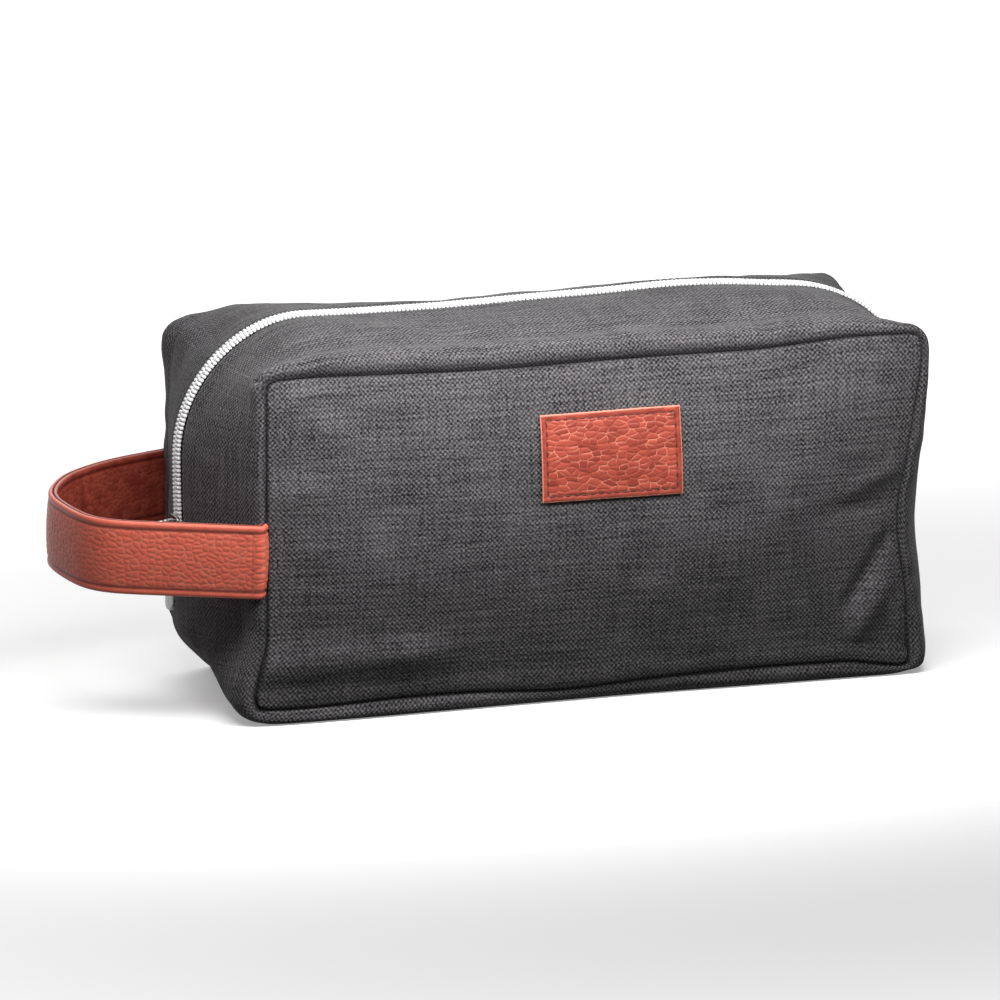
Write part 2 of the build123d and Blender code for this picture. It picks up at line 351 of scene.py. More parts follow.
panelFolds = {  # start, end, width, height
    "lowerLeft": ((-133, 21), (-62, 23), 6.5, 2.9),
    "rightDiagonal": ((124, 53), (104, 29), 3.0, -2.4),
    "rightRidge": ((122, 37), (106, 16), 4.0, 2.0),
    "rightCorner": ((121, 28), (127, 15), 4, 0.8),
    "rightSlit": ((128.5, 25), (128.5, 9), 1.5, -1.7),
    "rightHigh": ((126, 80), (104, 72), 4, 1.3),
    "rightHighUnder": ((126, 68), (92, 64), 5, -0.9),
    "topLeft": ((-126, 116), (-112, 124), 3.5, 0.9),
    "leftHigh": ((-128, 97), (-104, 92), 5, -0.7),
    "leftMiddle": ((-128, 84), (-100, 88), 5, 0.7),
}


def creases(x, z):
    return sum(ridge(x, z, *fold) for fold in panelFolds.values())


def rollRows(edge, ahead, inward, angle, radius, tail, steps=6):
    # Rows of points that roll from an edge towards inward by an angle, then run straight
    rows = []
    for share in np.linspace(0, 1, steps):
        turned = angle * share
        rows.append(edge + radius * (np.sin(turned) * ahead + (1 - np.cos(turned)) * inward))
    heading = np.cos(angle) * ahead + np.sin(angle) * inward
    rows += [rows[-1] + heading * tail * share for share in (0.5, 1)]
    return rows


def seamRows(edge, ahead, outward, toward, corner):
    # The rolled edge of a turned seam: both cloths curl to one line, half way between them.
    # outward and toward are the ways out of the band and out of the panel
    plane, inDirection = unit(outward - toward), unit(-outward - toward)
    cosine = np.clip(dot(ahead, inDirection), -1, 1)
    inward = unit(inDirection - cosine * ahead)
    meeting = edge - ahead * dot(edge - corner, plane) / dot(ahead, plane)
    depth = bag["rollDepth"] + dot(corner - meeting, inDirection)
    angle = np.arccos(cosine)
    return rollRows(
        meeting - ahead * depth, ahead, inward, angle, depth / np.tan(angle / 2), bag["allowance"]
    )


def roundedGrid(reach, low, high, corner, step):
    # A grid over a rectangle with round corners: rings stay a fixed distance from the edge
    columns = round(2 * reach / step) + 1
    rows = round((high - low) / step) + 1
    x, z = np.meshgrid(np.linspace(-reach, reach, columns), np.linspace(low, high, rows))
    middle = (low + high) / 2
    half = (high - low) / 2
    inset = np.minimum(reach - np.abs(x), half - np.abs(z - middle))
    radius = np.maximum(corner - inset, 0)
    alongX, alongZ = reach - inset - np.abs(x), half - inset - np.abs(z - middle)
    away = np.maximum(alongX, alongZ)  # distance from the ring's own square corner
    reachOut = 3 * radius + 1e-9
    used = np.minimum(away, reachOut) * (reachOut - (2 - np.pi / 2) / 2 * radius) / reachOut
    straight = np.maximum(used - np.pi / 4 * radius, 0)
    ringX, ringZ = reach - inset, half - inset
    near = away < reachOut
    sideways = alongX > alongZ  # on the top or bottom of its ring
    angle = np.pi / 4 - np.clip(used / np.maximum(radius, 1e-9), 0, np.pi / 4)
    offLong = np.where(straight > 0, radius + straight, radius * (1 - np.sin(angle)))
    offShort = np.where(straight > 0, 0, radius * (1 - np.cos(angle)))
    newX = np.where(sideways, ringX - offLong, ringX - offShort)
    newZ = np.where(sideways, ringZ - offShort, ringZ - offLong)
    x = np.where(near, np.sign(x) * newX, x)
    z = np.where(near, middle + np.sign(z - middle) * newZ, z)
    return x, z


def borderLoop(rows, columns):
    index = np.arange(rows * columns).reshape(rows, columns)
    return np.concatenate([index[0, :-1], index[:-1, -1], index[-1, :0:-1], index[:0:-1, 0]])


def panel(name, side, material):
    # side is -1 for the front panel and 1 for the back one
    stop = bag["edgeStop"]
    reach, low, high = bag["seamReach"] - stop, bag["seamLow"] + stop, bag["seamTop"] - stop
    corner = bag["seamCorner"] - stop
    x, z = roundedGrid(reach, low, high, corner, bag["step"])
    uv = np.stack([x, z], -1).reshape(-1, 2)
    points = inSpace(uv, panelFaceY(*uv.T))
    loop = borderLoop(*x.shape)
    flat = uv[loop]
    core = np.column_stack([
        np.clip(flat[:, 0], corner - reach, reach - corner),
        np.clip(flat[:, 1], low + corner, high - corner),
    ])
    out = unit(flat - core)
    probe = 0.5  # a short way outwards, to find the cloth's slope
    slope = (panelFaceY(*(flat + probe * out).T) - panelFaceY(*flat.T)) / probe
    corners = inSpace(flat + stop * out, -bag["seamDepth"])
    rows = seamRows(
        points[loop], unit(inSpace(out, slope)), inSpace(out), np.array([0, -1.0, 0]), corners
    )
    count = len(points)
    faces = [gridFaces(*x.shape)]
    hollow = np.zeros(count)
    previous, travelled, last = loop, 0, points[loop]
    for index, row in enumerate(rows):
        hollow = np.append(hollow, np.full(len(loop), min(1, index / 2)))  # painted seam shade, full from the third row
        travelled = travelled + np.linalg.norm(row - last, axis=1, keepdims=True)
        ring = np.arange(count, count + len(loop))
        points = np.vstack([points, row])
        uv = np.vstack([uv, flat + out * travelled])
        after = np.roll(ring, -1)
        faces.append(np.stack([ring, after, np.roll(previous, -1), previous], -1))
        previous, last, count = ring, row, count + len(loop)
    if side > 0:
        points[:, 1] *= -1
    return thicken(
        newPiece(name, settle(points), np.vstack(faces), material, uv, "centre", {"hollow": hollow}),
        bag["cloth"],
    )


def fullnessAt(part, share, front, right):
    end = fullness["right"] if right else fullness["leftFront" if front else "leftBack"]
    if part == "lower":
        return between(fullness["base"], end, smooth(share, *fullness["fromBaseToEnd"]))
    top = fullness["topFront" if front else "topBack"]
    return between(end, top, smooth(share, *fullness["fromEndToTop"]))


def bandPoints(part, share, across, front, right):
    # Points of the band: share runs along it, across from 0 on the zip line to 1 on the seam
    seamRange, zipRange = bandParts[part]
    share, across = np.broadcast_arrays(share, across)
    seam = onLine(seamLine, between(*seamRange, share))
    middle = onLine(zipLine, between(*zipRange, share))
    mixed = between(middle, seam, (across ** fullnessAt(part, share, front, right))[..., None])
    points = np.stack([mixed[..., 0], -bag["seamDepth"] * across, mixed[..., 1]], -1)
    if not front:
        points[..., 1] *= -1
    if right:
        points[..., 0] *= -1
    return points


def gridNormals(points):
    # Unit normals of a grid, away from the bag's middle
    normals = unit(np.cross(np.gradient(points, axis=0), np.gradient(points, axis=1)))
    if (normals * (points - bagMiddle)).sum() < 0:
        normals = -normals
    return normals


def cornerDistance(part, share):
    # Along the seam, from the middle of the panel's round corner
    straight = bag["seamReach"] - bag["seamCorner"] * (1 - math.pi / 4)
    corner = straight if part == "lower" else lengths(seamLine)[-1] - straight
    return between(*bandParts[part][0], share) - corner


bandForm = {  # a swell has height, wavelength, seed; places across are shares from zip to seam
    "swells": ((0.38, 52, 11), (0.16, 24, 12)), "seamSwell": (0.22, 15, 13), "seamSwellAt": (0.9, 0.12),
    "calmBase": (6, 30), "calmSeam": (0.04, 0.3), "calmZip": (0.08, 0.25),
    "puff": 1.5, "topPuff": 3.6, "puffAt": (0.89, 0.075),  # how full the cloth is beside the seams
    "dart": 1.8, "dartAlong": (-1.0, 1.1), "dartAt": (0.7, 0.86),  # a pinch at the upper left corner
    "topEdge": (118, 127), "frontHalf": (-10, 10), "rightLoss": 0.7, "rightLossAt": (30, 115),
}


def overTop(points):
    # 1 along the top front edge, less towards its right end
    atFront = smooth(-points[..., 1], *bandForm["frontHalf"])
    less = 1 - rise(points[..., 0], bandForm["rightLoss"], *bandForm["rightLossAt"])
    return smooth(points[..., 2], *bandForm["topEdge"]) * atFront * less


def bandWaves(part, points, share, across):
    # Gentle swells, a fuller line beside the seam, and the pinch at the panel's corner
    above = smooth(points[..., 2], *bandForm["calmBase"])
    inside = smooth(1 - across, *bandForm["calmSeam"]) * smooth(across, *bandForm["calmZip"]) * above
    waves = ripples(points, *bandForm["swells"]) * inside
    beside = bell(across, *bandForm["seamSwellAt"]) * above
    waves += ripples(points[..., ::2], bandForm["seamSwell"]) * beside
    atTop = overTop(points)
    puff = between(bandForm["puff"], bandForm["topPuff"], atTop)
    waves += puff * bell(across, *bandForm["puffAt"])
    pinch = bell(cornerDistance(part, share), *bandForm["dartAlong"]) * smooth(across, *bandForm["dartAt"])
    return waves - bandForm["dart"] * pinch * atTop * (points[..., 0] < 0)


def bandShares(part):
    # Even steps along the band, finer near the panel's corner
    seamRange, zipRange = bandParts[part]
    length = (zipRange[1] - zipRange[0] + seamRange[1] - seamRange[0]) / 2
    share = np.linspace(0, 1, round(length / bag["step"]) + 1)
    close = share[np.abs(cornerDistance(part, share)) < bag["closeTo"]]
    return np.union1d(share, np.linspace(close[0], close[-1], bag["closer"] * (len(close) - 1) + 1))


def bandSeamEdge(points, part, share, front, right):
    at = between(*bandParts[part][0], share)
    mirror, depth = -1 if right else 1, -1 if front else 1
    outward = inSpace(outlineNormal(seamLine, at), 0, mirror)
    corner = inSpace(onLine(seamLine, at), depth * bag["seamDepth"], mirror)
    ahead = unit(points[:, -1] - points[:, -2])
    return np.stack(seamRows(points[:, -1], ahead, outward, np.array([0, depth, 0.0]), corner), 1)


def bandZipEdge(points):
    # The cloth is folded under beside the zip
    inward, back = -gridNormals(points)[:, 0], unit(points[:, 0] - points[:, 1])
    folded = rollRows(points[:, 0], back, inward, np.pi, bag["foldRoll"], bag["foldReturn"])
    return np.stack(folded[::-1], 1)


def bandCrossEdge(sheet, part):
    # The rolled edge at the cross seam
    first, second = (0, 1) if part == "upper" else (-1, -2)
    inward, ahead = -gridNormals(sheet)[first], unit(sheet[first] - sheet[second])
    rolled = np.stack(rollRows(
        sheet[first], ahead, inward, np.pi / 2, bag["crossRoll"], bag["crossTail"], bag["crossSteps"]
    )[1:])
    return np.concatenate([rolled[::-1], sheet] if part == "upper" else [sheet, rolled])


def bandSheet(part, front, right, zipEdge):
    # One quarter of the band between the zip line and a seam
    share = bandShares(part)[:, None]
    start, stop = zipEdge / bag["seamDepth"], 1 - bag["bandStop"] / bag["seamDepth"]
    widest = 60  # the way from the zip to a seam, over the curve
    across = np.linspace(start, stop, round((stop - start) * widest / bag["step"]) + 1)[None, :]
    points = bandPoints(part, share, across, front, right)
    waves = bandWaves(part, points, *np.broadcast_arrays(share, across))
    points = points + gridNormals(points) * waves[..., None]
    sheet = np.concatenate([points, bandSeamEdge(points, part, share[:, 0], front, right)], 1)
    if zipEdge > 0:
        sheet = np.concatenate([bandZipEdge(points), sheet], 1)
    sheet = bandCrossEdge(sheet, part)
    acrossRun, alongRun = lengths(sheet, 1), lengths(sheet[:, sheet.shape[1] // 2])
    if part == "upper":
        # measured from the top middle, so that the weave runs on from the left to the right
        alongRun = (alongRun - alongRun[-1]) * (-1 if right else 1)
    uv = np.stack([np.broadcast_to(alongRun[:, None], acrossRun.shape), acrossRun], -1)
    # painted shade in the seam's hollow: the cloth is darkened near the seam, wider where the top front
    # edge hangs over it
    reach = bag["hollow"] + bag["shadeUnderOverhang"] * overTop(sheet)
    hollow = 1 - smooth((acrossRun[:, -3:-2] - acrossRun) / reach, *bag["paintedShadeFade"])
    return settle(sheet), uv, hollow


def bandPiece(name, part, front, right, material):
    sheet, uv, hollow = bandSheet(part, front, right, bag["foldEdge"])
    faces = gridFaces(*sheet.shape[:2])
    return thicken(
        newPiece(name, sheet, faces, material, uv, "centre", {"hollow": hollow}), bag["cloth"]
    )


def joinedQuarters(name, material, makeSheet):
    # One piece from its four quarters; makeSheet gives the points, the uv and the painted shade of the
    # seam's hollow
    points, faces, uv, hollow, count = [], [], [], [], 0
    for front, right in sorted(quarters, key=lambda quarter: quarter[1]):  # the left end first
        sheet, flat, dark = makeSheet("lower", front, right)
        quad = gridFaces(*sheet.shape[:2]) + count
        faces.append(quad[:, ::-1] if front != right else quad)
        points.append(sheet.reshape(-1, 3))
        uv.append((flat * [-1 if right else 1, -1 if front else 1]).reshape(-1, 2))
        hollow.append(np.ravel(dark))
        count += sheet.shape[0] * sheet.shape[1]
    return newPiece(
        name, np.vstack(points), np.vstack(faces), material, np.vstack(uv), "centre",
        {"hollow": np.concatenate(hollow)},
    )


def mergeDoubles(work):
    bmesh.ops.remove_doubles(work, verts=work.verts, dist=0.02 * mm)


def bottomPiece(name, material):
    # Both ends and the base in one strip
    made = joinedQuarters(name, material, lambda *quarter: bandSheet(*quarter, 0))
    rework(made.data, mergeDoubles)
    return thicken(made, bag["cloth"])


# Node trees: Value wraps a socket, NodeTree adds nodes, Finish builds a material

class Value:
    def __init__(self, owner, socket):
        self.owner, self.socket = owner, socket

    def part(self, key):
        # Another output of the same node
        return Value(self.owner, self.socket.node.outputs[key])

    def join(self, operation, *inputs):
        return self.owner.node("ShaderNodeMath", {"operation": operation}, inputs)

    def __add__(self, other):
        return self.join("ADD", self, other)

    def __sub__(self, other):
        return self.join("SUBTRACT", self, other)

    def __rsub__(self, other):
        return self.join("SUBTRACT", other, self)

    def __mul__(self, other):
        return self.join("MULTIPLY", self, other)

    __radd__, __rmul__ = __add__, __mul__


class NodeTree:
    def __init__(self, tree):
        self.tree = tree
        self.tree.nodes.clear()

    def fill(self, socket, value):
        if isinstance(value, Value):
            self.tree.links.new(value.socket, socket)
        else:
            socket.default_value = value

    def node(self, kind, settings=None, inputs=(), output=0):
        made = self.tree.nodes.new(kind)
        for key, value in (settings or {}).items():
            setattr(made, key, value)
        for key, value in inputs.items() if isinstance(inputs, dict) else enumerate(inputs):
            self.fill(made.inputs[key], value)
        return Value(self, made.outputs[output]) if made.outputs else None


class Finish(NodeTree):
    def __init__(self, name, owner=None):
        self.material = owner or bpy.data.materials.new(name)
        self.material.use_nodes = True
        super().__init__(self.material.node_tree)

    def flat(self):
        # The piece's own cloth coordinates, in millimetres
        return self.node("ShaderNodeUVMap", {"uv_map": "cloth"})

    def place(self):
        # Object coordinates, in metres
        return self.node("ShaderNodeTexCoord", {}, (), 3)

    def attribute(self, key):
        return self.node("ShaderNodeAttribute", {"attribute_name": key}, (), 2)

    def split(self, vector):
        made = self.node("ShaderNodeSeparateXYZ", {}, [vector])
        return made, made.part(1)

    def vector(self, x=0.0, y=0.0, z=0.0):
        return self.node("ShaderNodeCombineXYZ", {}, [x, y, z])

    def noise(self, vector, scale, detail=2.0, roughness=0.5):
        return self.node(
            "ShaderNodeTexNoise", {},
            {"Vector": vector, "Scale": scale, "Detail": detail, "Roughness": roughness},
        )

    def ranged(self, value, low, high, newLow=0.0, newHigh=1.0):
        return self.node(
            "ShaderNodeMapRange", {"interpolation_type": "SMOOTHSTEP"}, [value, low, high, newLow, newHigh]
        )

    def mix(self, share, first, second):
        # inputs 6 and 7 of the node are its two colours, and output 2 the mixed one
        return self.node(
            "ShaderNodeMix", {"data_type": "RGBA"}, {"Factor": share, 6: first, 7: second}, 2
        )

    def surface(self, bump=None, bumpDepth=0.1, **sockets):
        if bump is not None:
            sockets["Normal"] = self.node(
                "ShaderNodeBump", {}, {"Height": bump, "Strength": 1.0, "Distance": bumpDepth * mm}
            )
        named = {key.replace("_", " "): value for key, value in sockets.items()}
        shader = self.node("ShaderNodeBsdfPrincipled", {}, named)
        self.node("ShaderNodeOutputMaterial", {}, [shader])
        return self.material


def linear(channel):
    share = channel / 255
    return share / 12.92 if channel < 11 else ((share + 0.055) / 1.055) ** 2.4


def shade(*channels):
    # A colour as a picture shows it, 0 to 255, turned into the linear one that shaders use
    return tuple(linear(channel) for channel in channels) + (1.0,)


def darker(colour, share):
    return tuple(channel * share for channel in colour[:3]) + (1.0,)


# Fabric: a plain weave of light and dark yarn

weave = {
    "cell": 0.94, "dark": shade(26, 25, 27), "light": shade(134, 131, 133), "relief": 0.14,
    "roughness": 0.75, "gloss": 0.06, "sheen": 0.06, "sheenSpread": 0.4,
    "wander": (0.75, 0.6),  # how far the yarn strays, along and across
    "stray": (0.5, 3.0), "cloud": (0.05, 2.0), "dots": (1.1, 2.0),  # noise: scale and detail
    "slub": (0.032, 1.0, 3.0, 0.55), "thread": (0.95, 0.05, 2.0, 0.6),  # scales, detail, roughness
    # hollow: how much the seams' hollows are darkened, as painted shade
    "specks": 2.2, "cells": (-0.9, 1.5), "hollow": 0.65,
    "cellTone": 0.56, "cellSlub": 0.8, "slubTone": 0.45, "threadTone": 0.4,  # shares of the brightness
    "cloudTone": 0.2, "dotTone": 0.5, "base": 0.09,
}


def shellFabric():
    finish = Finish("shellFabric")
    flat = finish.flat()
    u, v = finish.split(flat)
    wander = finish.noise(flat, *weave["stray"]) - 0.5
    turn = math.pi / weave["cell"]
    lengthwise, crosswise = (
        axis.join("SINE", (axis + wander * amount) * turn) for axis, amount in zip((u, v), weave["wander"])
    )
    checker = lengthwise * crosswise
    slub, thread = (
        finish.noise(finish.vector(u * along, v * across), 1.0, detail, roughness) - 0.5
        for along, across, detail, roughness in (weave["slub"], weave["thread"])
    )
    cloud, dots = (finish.noise(flat, *weave[key]) - 0.5 for key in ("cloud", "dots"))
    cells = finish.ranged(checker + dots * weave["specks"], *weave["cells"])
    bright = cells * (weave["cellTone"] + slub * weave["cellSlub"]) + slub * weave["slubTone"]
    bright = bright + thread * weave["threadTone"] + cloud * weave["cloudTone"]
    bright = bright + dots * weave["dotTone"] + weave["base"]
    # The hollow attribute darkens the cloth beside the seams: painted shade
    seen = bright * (1 - finish.attribute("hollow") * weave["hollow"])
    return finish.surface(
        finish.ranged(checker, -1.0, 1.0), weave["relief"],
        Base_Color=finish.mix(seen, weave["dark"], weave["light"]), Roughness=weave["roughness"],
        Specular_IOR_Level=weave["gloss"], Sheen_Weight=weave["sheen"],
        Sheen_Roughness=weave["sheenSpread"],
    )


plain = {"shadow": 0.6, "cloud": (0.4, 3.0), "cloudShare": 0.5}
threads = {"twist": (1400.0, 2.0), "shadow": 0.55, "relief": 0.08, "roughness": 0.6}
coilLook = {
    "colours": (shade(228, 228, 229), shade(247, 247, 248)), "dirt": (300.0, 2.0),
    "roughness": 0.3, "dirtRough": 0.15,
}
nickelLook = {
    "colours": (shade(104, 104, 106), shade(150, 150, 149)), "wear": (420.0, 4.0, 0.6),
    "relief": 0.03, "roughness": 0.16, "wearRough": 0.2,
}


def plainCloth(name, colour, cell, roughness=0.7, relief=0.08):
    # Linings and tapes: one colour with a fine rib
    finish = Finish(name)
    flat = finish.flat()
    u, v = finish.split(flat)
    turn = 2 * math.pi / cell
    ribs = u.join("SINE", u * turn) * v.join("SINE", v * turn)
    cloud = finish.noise(flat, *plain["cloud"]) * plain["cloudShare"]
    tone = cloud + finish.ranged(ribs, -1.0, 1.0) * (1 - plain["cloudShare"])
    return finish.surface(
        ribs, relief, Base_Color=finish.mix(tone, darker(colour, plain["shadow"]), colour),
        Roughness=roughness,
    )


leather = {
    "cell": shade(208, 100, 80), "deep": shade(132, 52, 39), "crease": shade(212, 134, 112),
    # The darkest colour here is painted shade: stitch grooves, a dent and the faces hidden between the
    # strap's layers
    "paintedShade": shade(84, 26, 18), "thread": shade(84, 32, 24),
    "labelTone": 0.0, "outerPaintedLight": 0.85, "innerTone": 0.05,  # how light each piece's grain is; the strap's outer layer is painted much lighter, as painted light
    "cloudTone": 0.4, "creaseMix": (0.1, 0.9, 0.0, 0.85), "paintedShadeMix": (0.0, 1.0, 0.0, 0.8),
    "pores": (2.6, 3.0, 0.6), "cloud": (0.12, 2.0),  # noise: scale, detail, roughness
    "relief": 0.05, "roughness": 0.26, "poreRough": 0.24, "creaseRough": 0.06, "gloss": 0.26,
}


def leatherFinish():
    # Pebbles between light creases, with painted shade in the stitch grooves, in a dent and on the faces
    # hidden between the strap's layers, paler on cut edges, and a painted highlight on the strap's rims
    finish = Finish("leather")
    flat = finish.flat()
    crease, tone, paintedShade = (finish.attribute(key) for key in ("crease", "tone", "paintedShade"))
    pores, cloud = (finish.noise(flat, *leather[key]) for key in ("pores", "cloud"))
    lightness = tone + (cloud - 0.5) * leather["cloudTone"]
    colour = finish.mix(lightness, leather["deep"], leather["cell"])
    # light creases of the grain and the label's pale cut edges, with a painted highlight on the strap's
    # rims
    colour = finish.mix(finish.ranged(crease, *leather["creaseMix"]), colour, leather["crease"])
    # painted shade in the stitch grooves, the dent and the hidden faces
    colour = finish.mix(finish.ranged(paintedShade, *leather["paintedShadeMix"]), colour, leather["paintedShade"])
    roughness = leather["roughness"] + pores * leather["poreRough"] + crease * leather["creaseRough"]
    return finish.surface(
        pores, leather["relief"], Base_Color=colour, Roughness=roughness,
        Specular_IOR_Level=leather["gloss"],
    )


def threadFinish(name, colour):
    finish = Finish(name)
    twist = finish.noise(finish.place(), *threads["twist"])
    return finish.surface(
        twist, threads["relief"], Roughness=threads["roughness"],
        Base_Color=finish.mix(twist, darker(colour, threads["shadow"]), colour),
    )


def coilFinish():
    finish = Finish("zipCoil")
    dirt = finish.noise(finish.place(), *coilLook["dirt"])
    return finish.surface(
        Base_Color=finish.mix(dirt, *coilLook["colours"]),
        Roughness=coilLook["roughness"] + dirt * coilLook["dirtRough"],
    )


def nickelFinish():
    finish = Finish("nickel")
    wear = finish.noise(finish.place(), *nickelLook["wear"])
    return finish.surface(
        wear, nickelLook["relief"], Base_Color=finish.mix(wear, *nickelLook["colours"]), Metallic=1.0,
        Roughness=nickelLook["roughness"] + wear * nickelLook["wearRough"],
    )


fabric = shellFabric()
lining = plainCloth("lining", shade(58, 58, 62), 0.5)
tapeCloth = plainCloth("zipTape", shade(26, 26, 29), 0.9, 0.8, 0.15)
bindingCloth = plainCloth("bindingTape", shade(40, 40, 43), 1.1, 0.8, 0.12)
leatherSkin = leatherFinish()
leatherThread = threadFinish("leatherThread", leather["thread"])
fabricThread = threadFinish("fabricThread", shade(60, 60, 64))
coilNylon = coilFinish()
nickel = nickelFinish()
print("materials made")


# The bag's cloth pieces

def rideOn(piece, body, slot, *nodes):
    if nodes:
        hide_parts(*nodes)
    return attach(piece, body)


def swingWith(piece, front, right, slot, *nodes):
    # A quarter of the mouth: its CAD nodes are hidden and its place is baked into the mesh
    if nodes:
        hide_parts(*nodes)
    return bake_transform(piece)


def quarterNames(front, right):
    depth, side = "front" if front else "back", "right" if right else "left"
    return f"{depth.capitalize()}{side.capitalize()}", f"{depth}_{side}", f"{depth}_top"


rideOn(panel("frontPanel", -1, fabric), "shell", "shell_fabric", "front_panel")
rideOn(panel("backPanel", 1, fabric), "shell", "shell_fabric", "back_panel")
rideOn(bottomPiece("bottomGusset", fabric), "shell", "shell_fabric", "bottom_gusset")
for front, right in quarters:
    name, corner, top = quarterNames(front, right)
    strip = bandPiece("zipGusset" + name, "upper", front, right, fabric)
    swingWith(strip, front, right, "shell_fabric", "zip_gusset_" + corner, "zip_gusset_" + top)
print("cloth shell made")


# Inner layers: linings, tapes and seam bindings

layers = {
    "liningInset": 1.75, "liningStop": 0.94, "liningEdge": 6.5, "liningStep": 3.0, "liningCloth": 0.3,
    "liningGap": 1, "tapeInset": 1.1, "tapeEdge": 0.3, "tapeReach": 14.0, "tapeStep": 1.5, "tapeCloth": 0.5,
    "runDepth": (0.35, 92, 14),  # deeper by the top of the slider's run, straight where cloth bends
    "upperLength": 200, "lowerSteps": 64,
}


def innerSheet(part, shares, near, far, front, right, inset, step):
    # A layer under the band between two distances from the zip line
    count = max(3, round((far * bag["seamDepth"] - near) / step))
    across = np.linspace(near / bag["seamDepth"], far, count)
    points = bandPoints(part, shares[:, None], across[None, :], front, right)
    sink = inset + humps(points[..., 2], layers["runDepth"]) * (points[..., 0] < 0)
    points = points - gridNormals(points) * sink[..., None]
    return settle(points), np.stack([lengths(points), lengths(points, 1)], -1)


def innerPiece(name, near, far, front, right, inset, step, material, thickness):
    shares = np.linspace(0, 1, round(layers["upperLength"] / step))
    points, uv = innerSheet("upper", shares, near, far, front, right, inset, step)
    return thicken(
        newPiece(name, points, gridFaces(*points.shape[:2]), material, uv, "centre"), thickness
    )


for front, right in quarters:
    name, corner, top = quarterNames(front, right)
    piece = innerPiece(
        "zipLining" + name, layers["liningEdge"], layers["liningStop"], front, right,
        layers["liningInset"], layers["liningStep"], lining, layers["liningCloth"],
    )
    swingWith(piece, front, right, "lining_fabric", "zip_lining_" + corner, "zip_lining_" + top)
    piece = innerPiece(
        "zipTape" + name, layers["tapeEdge"], layers["tapeReach"] / bag["seamDepth"], front, right,
        layers["tapeInset"], layers["tapeStep"], tapeCloth, layers["tapeCloth"],
    )
    swingWith(piece, front, right, "zip_tape", "zip_tape_" + corner, "zip_tape_" + top)


def panelLining(name, side):
    inset = layers["liningInset"]
    edge = inset + layers["liningGap"]
    x, z = roundedGrid(
        bag["seamReach"] - edge, bag["seamLow"] + edge, bag["seamTop"] - edge,
        bag["seamCorner"] - inset, layers["liningStep"],
    )
    flat = np.stack([x, z], -1)
    points = inSpace(flat, panelFaceY(x, z) + inset)
    if side > 0:
        points[..., 1] *= -1
    piece = newPiece(name, settle(points), gridFaces(*x.shape), lining, flat, "centre")
    return thicken(piece, layers["liningCloth"])


def liningSheet(part, front, right):
    shares = np.linspace(0, 1, layers["lowerSteps"])
    points, uv = innerSheet(
        part, shares, 0, layers["liningStop"], front, right, layers["liningInset"], layers["liningStep"]
    )
    return points, uv, np.zeros(points.shape[:2])  # no painted seam shade


def bottomLining(name):
    return thicken(joinedQuarters(name, lining, liningSheet), layers["liningCloth"])


rideOn(panelLining("frontLining", -1), "shell", "lining_fabric", "front_lining")
rideOn(panelLining("backLining", 1), "shell", "lining_fabric", "back_lining")
rideOn(bottomLining("bottomLining"), "shell", "lining_fabric", "bottom_lining")

binding = {
    "inset": 2.4, "width": 7.0, "thickness": 1.6, "depth": 2.6, "points": 190,
    "square": 0.5, "round": 2.5,  # how boxy its section is, and the way round it for each radian
}


def seamBinding(name, side):
    # A folded tape that runs round the raw edges inside a seam
    total = lengths(seamLine)[-1]
    at = np.linspace(0, total, binding["points"])[:-1]
    left, out = onLine(seamLine, at), outlineNormal(seamLine, at)
    loop = np.vstack([left, onLine(seamLine, total - at) * [-1, 1]])
    outs = np.vstack([out, outlineNormal(seamLine, total - at) * [-1, 1]])
    turn = np.linspace(0, 2 * np.pi, 17)[:-1]
    wide = binding["width"] / 2 * np.sign(np.cos(turn)) * np.abs(np.cos(turn)) ** binding["square"]
    thick = binding["thickness"] / 2 * np.sin(turn)
    fromSeam = binding["inset"] + binding["width"] / 2
    flat = loop[:, None, :] - outs[:, None, :] * (fromSeam + wide[None, :, None])
    points = inSpace(flat, -bag["seamDepth"] + binding["depth"] + thick)
    run = lengths(points)
    uv = np.stack([run, np.broadcast_to(turn * binding["round"], run.shape)], -1)
    faces = gridFaces(*points.shape[:2], closed=True, looped=True)
    if side > 0:
        points[..., 1] *= -1
        faces = faces[:, ::-1]
    return newPiece(name, settle(points), faces, bindingCloth, uv)


rideOn(seamBinding("frontSeamBinding", -1), "shell", "binding_tape", "front_seam_binding")
rideOn(seamBinding("backSeamBinding", 1), "shell", "binding_tape", "back_seam_binding")
print("inner layers made")


# Geometry Nodes: a shape placed along paths, for coil teeth and stitches

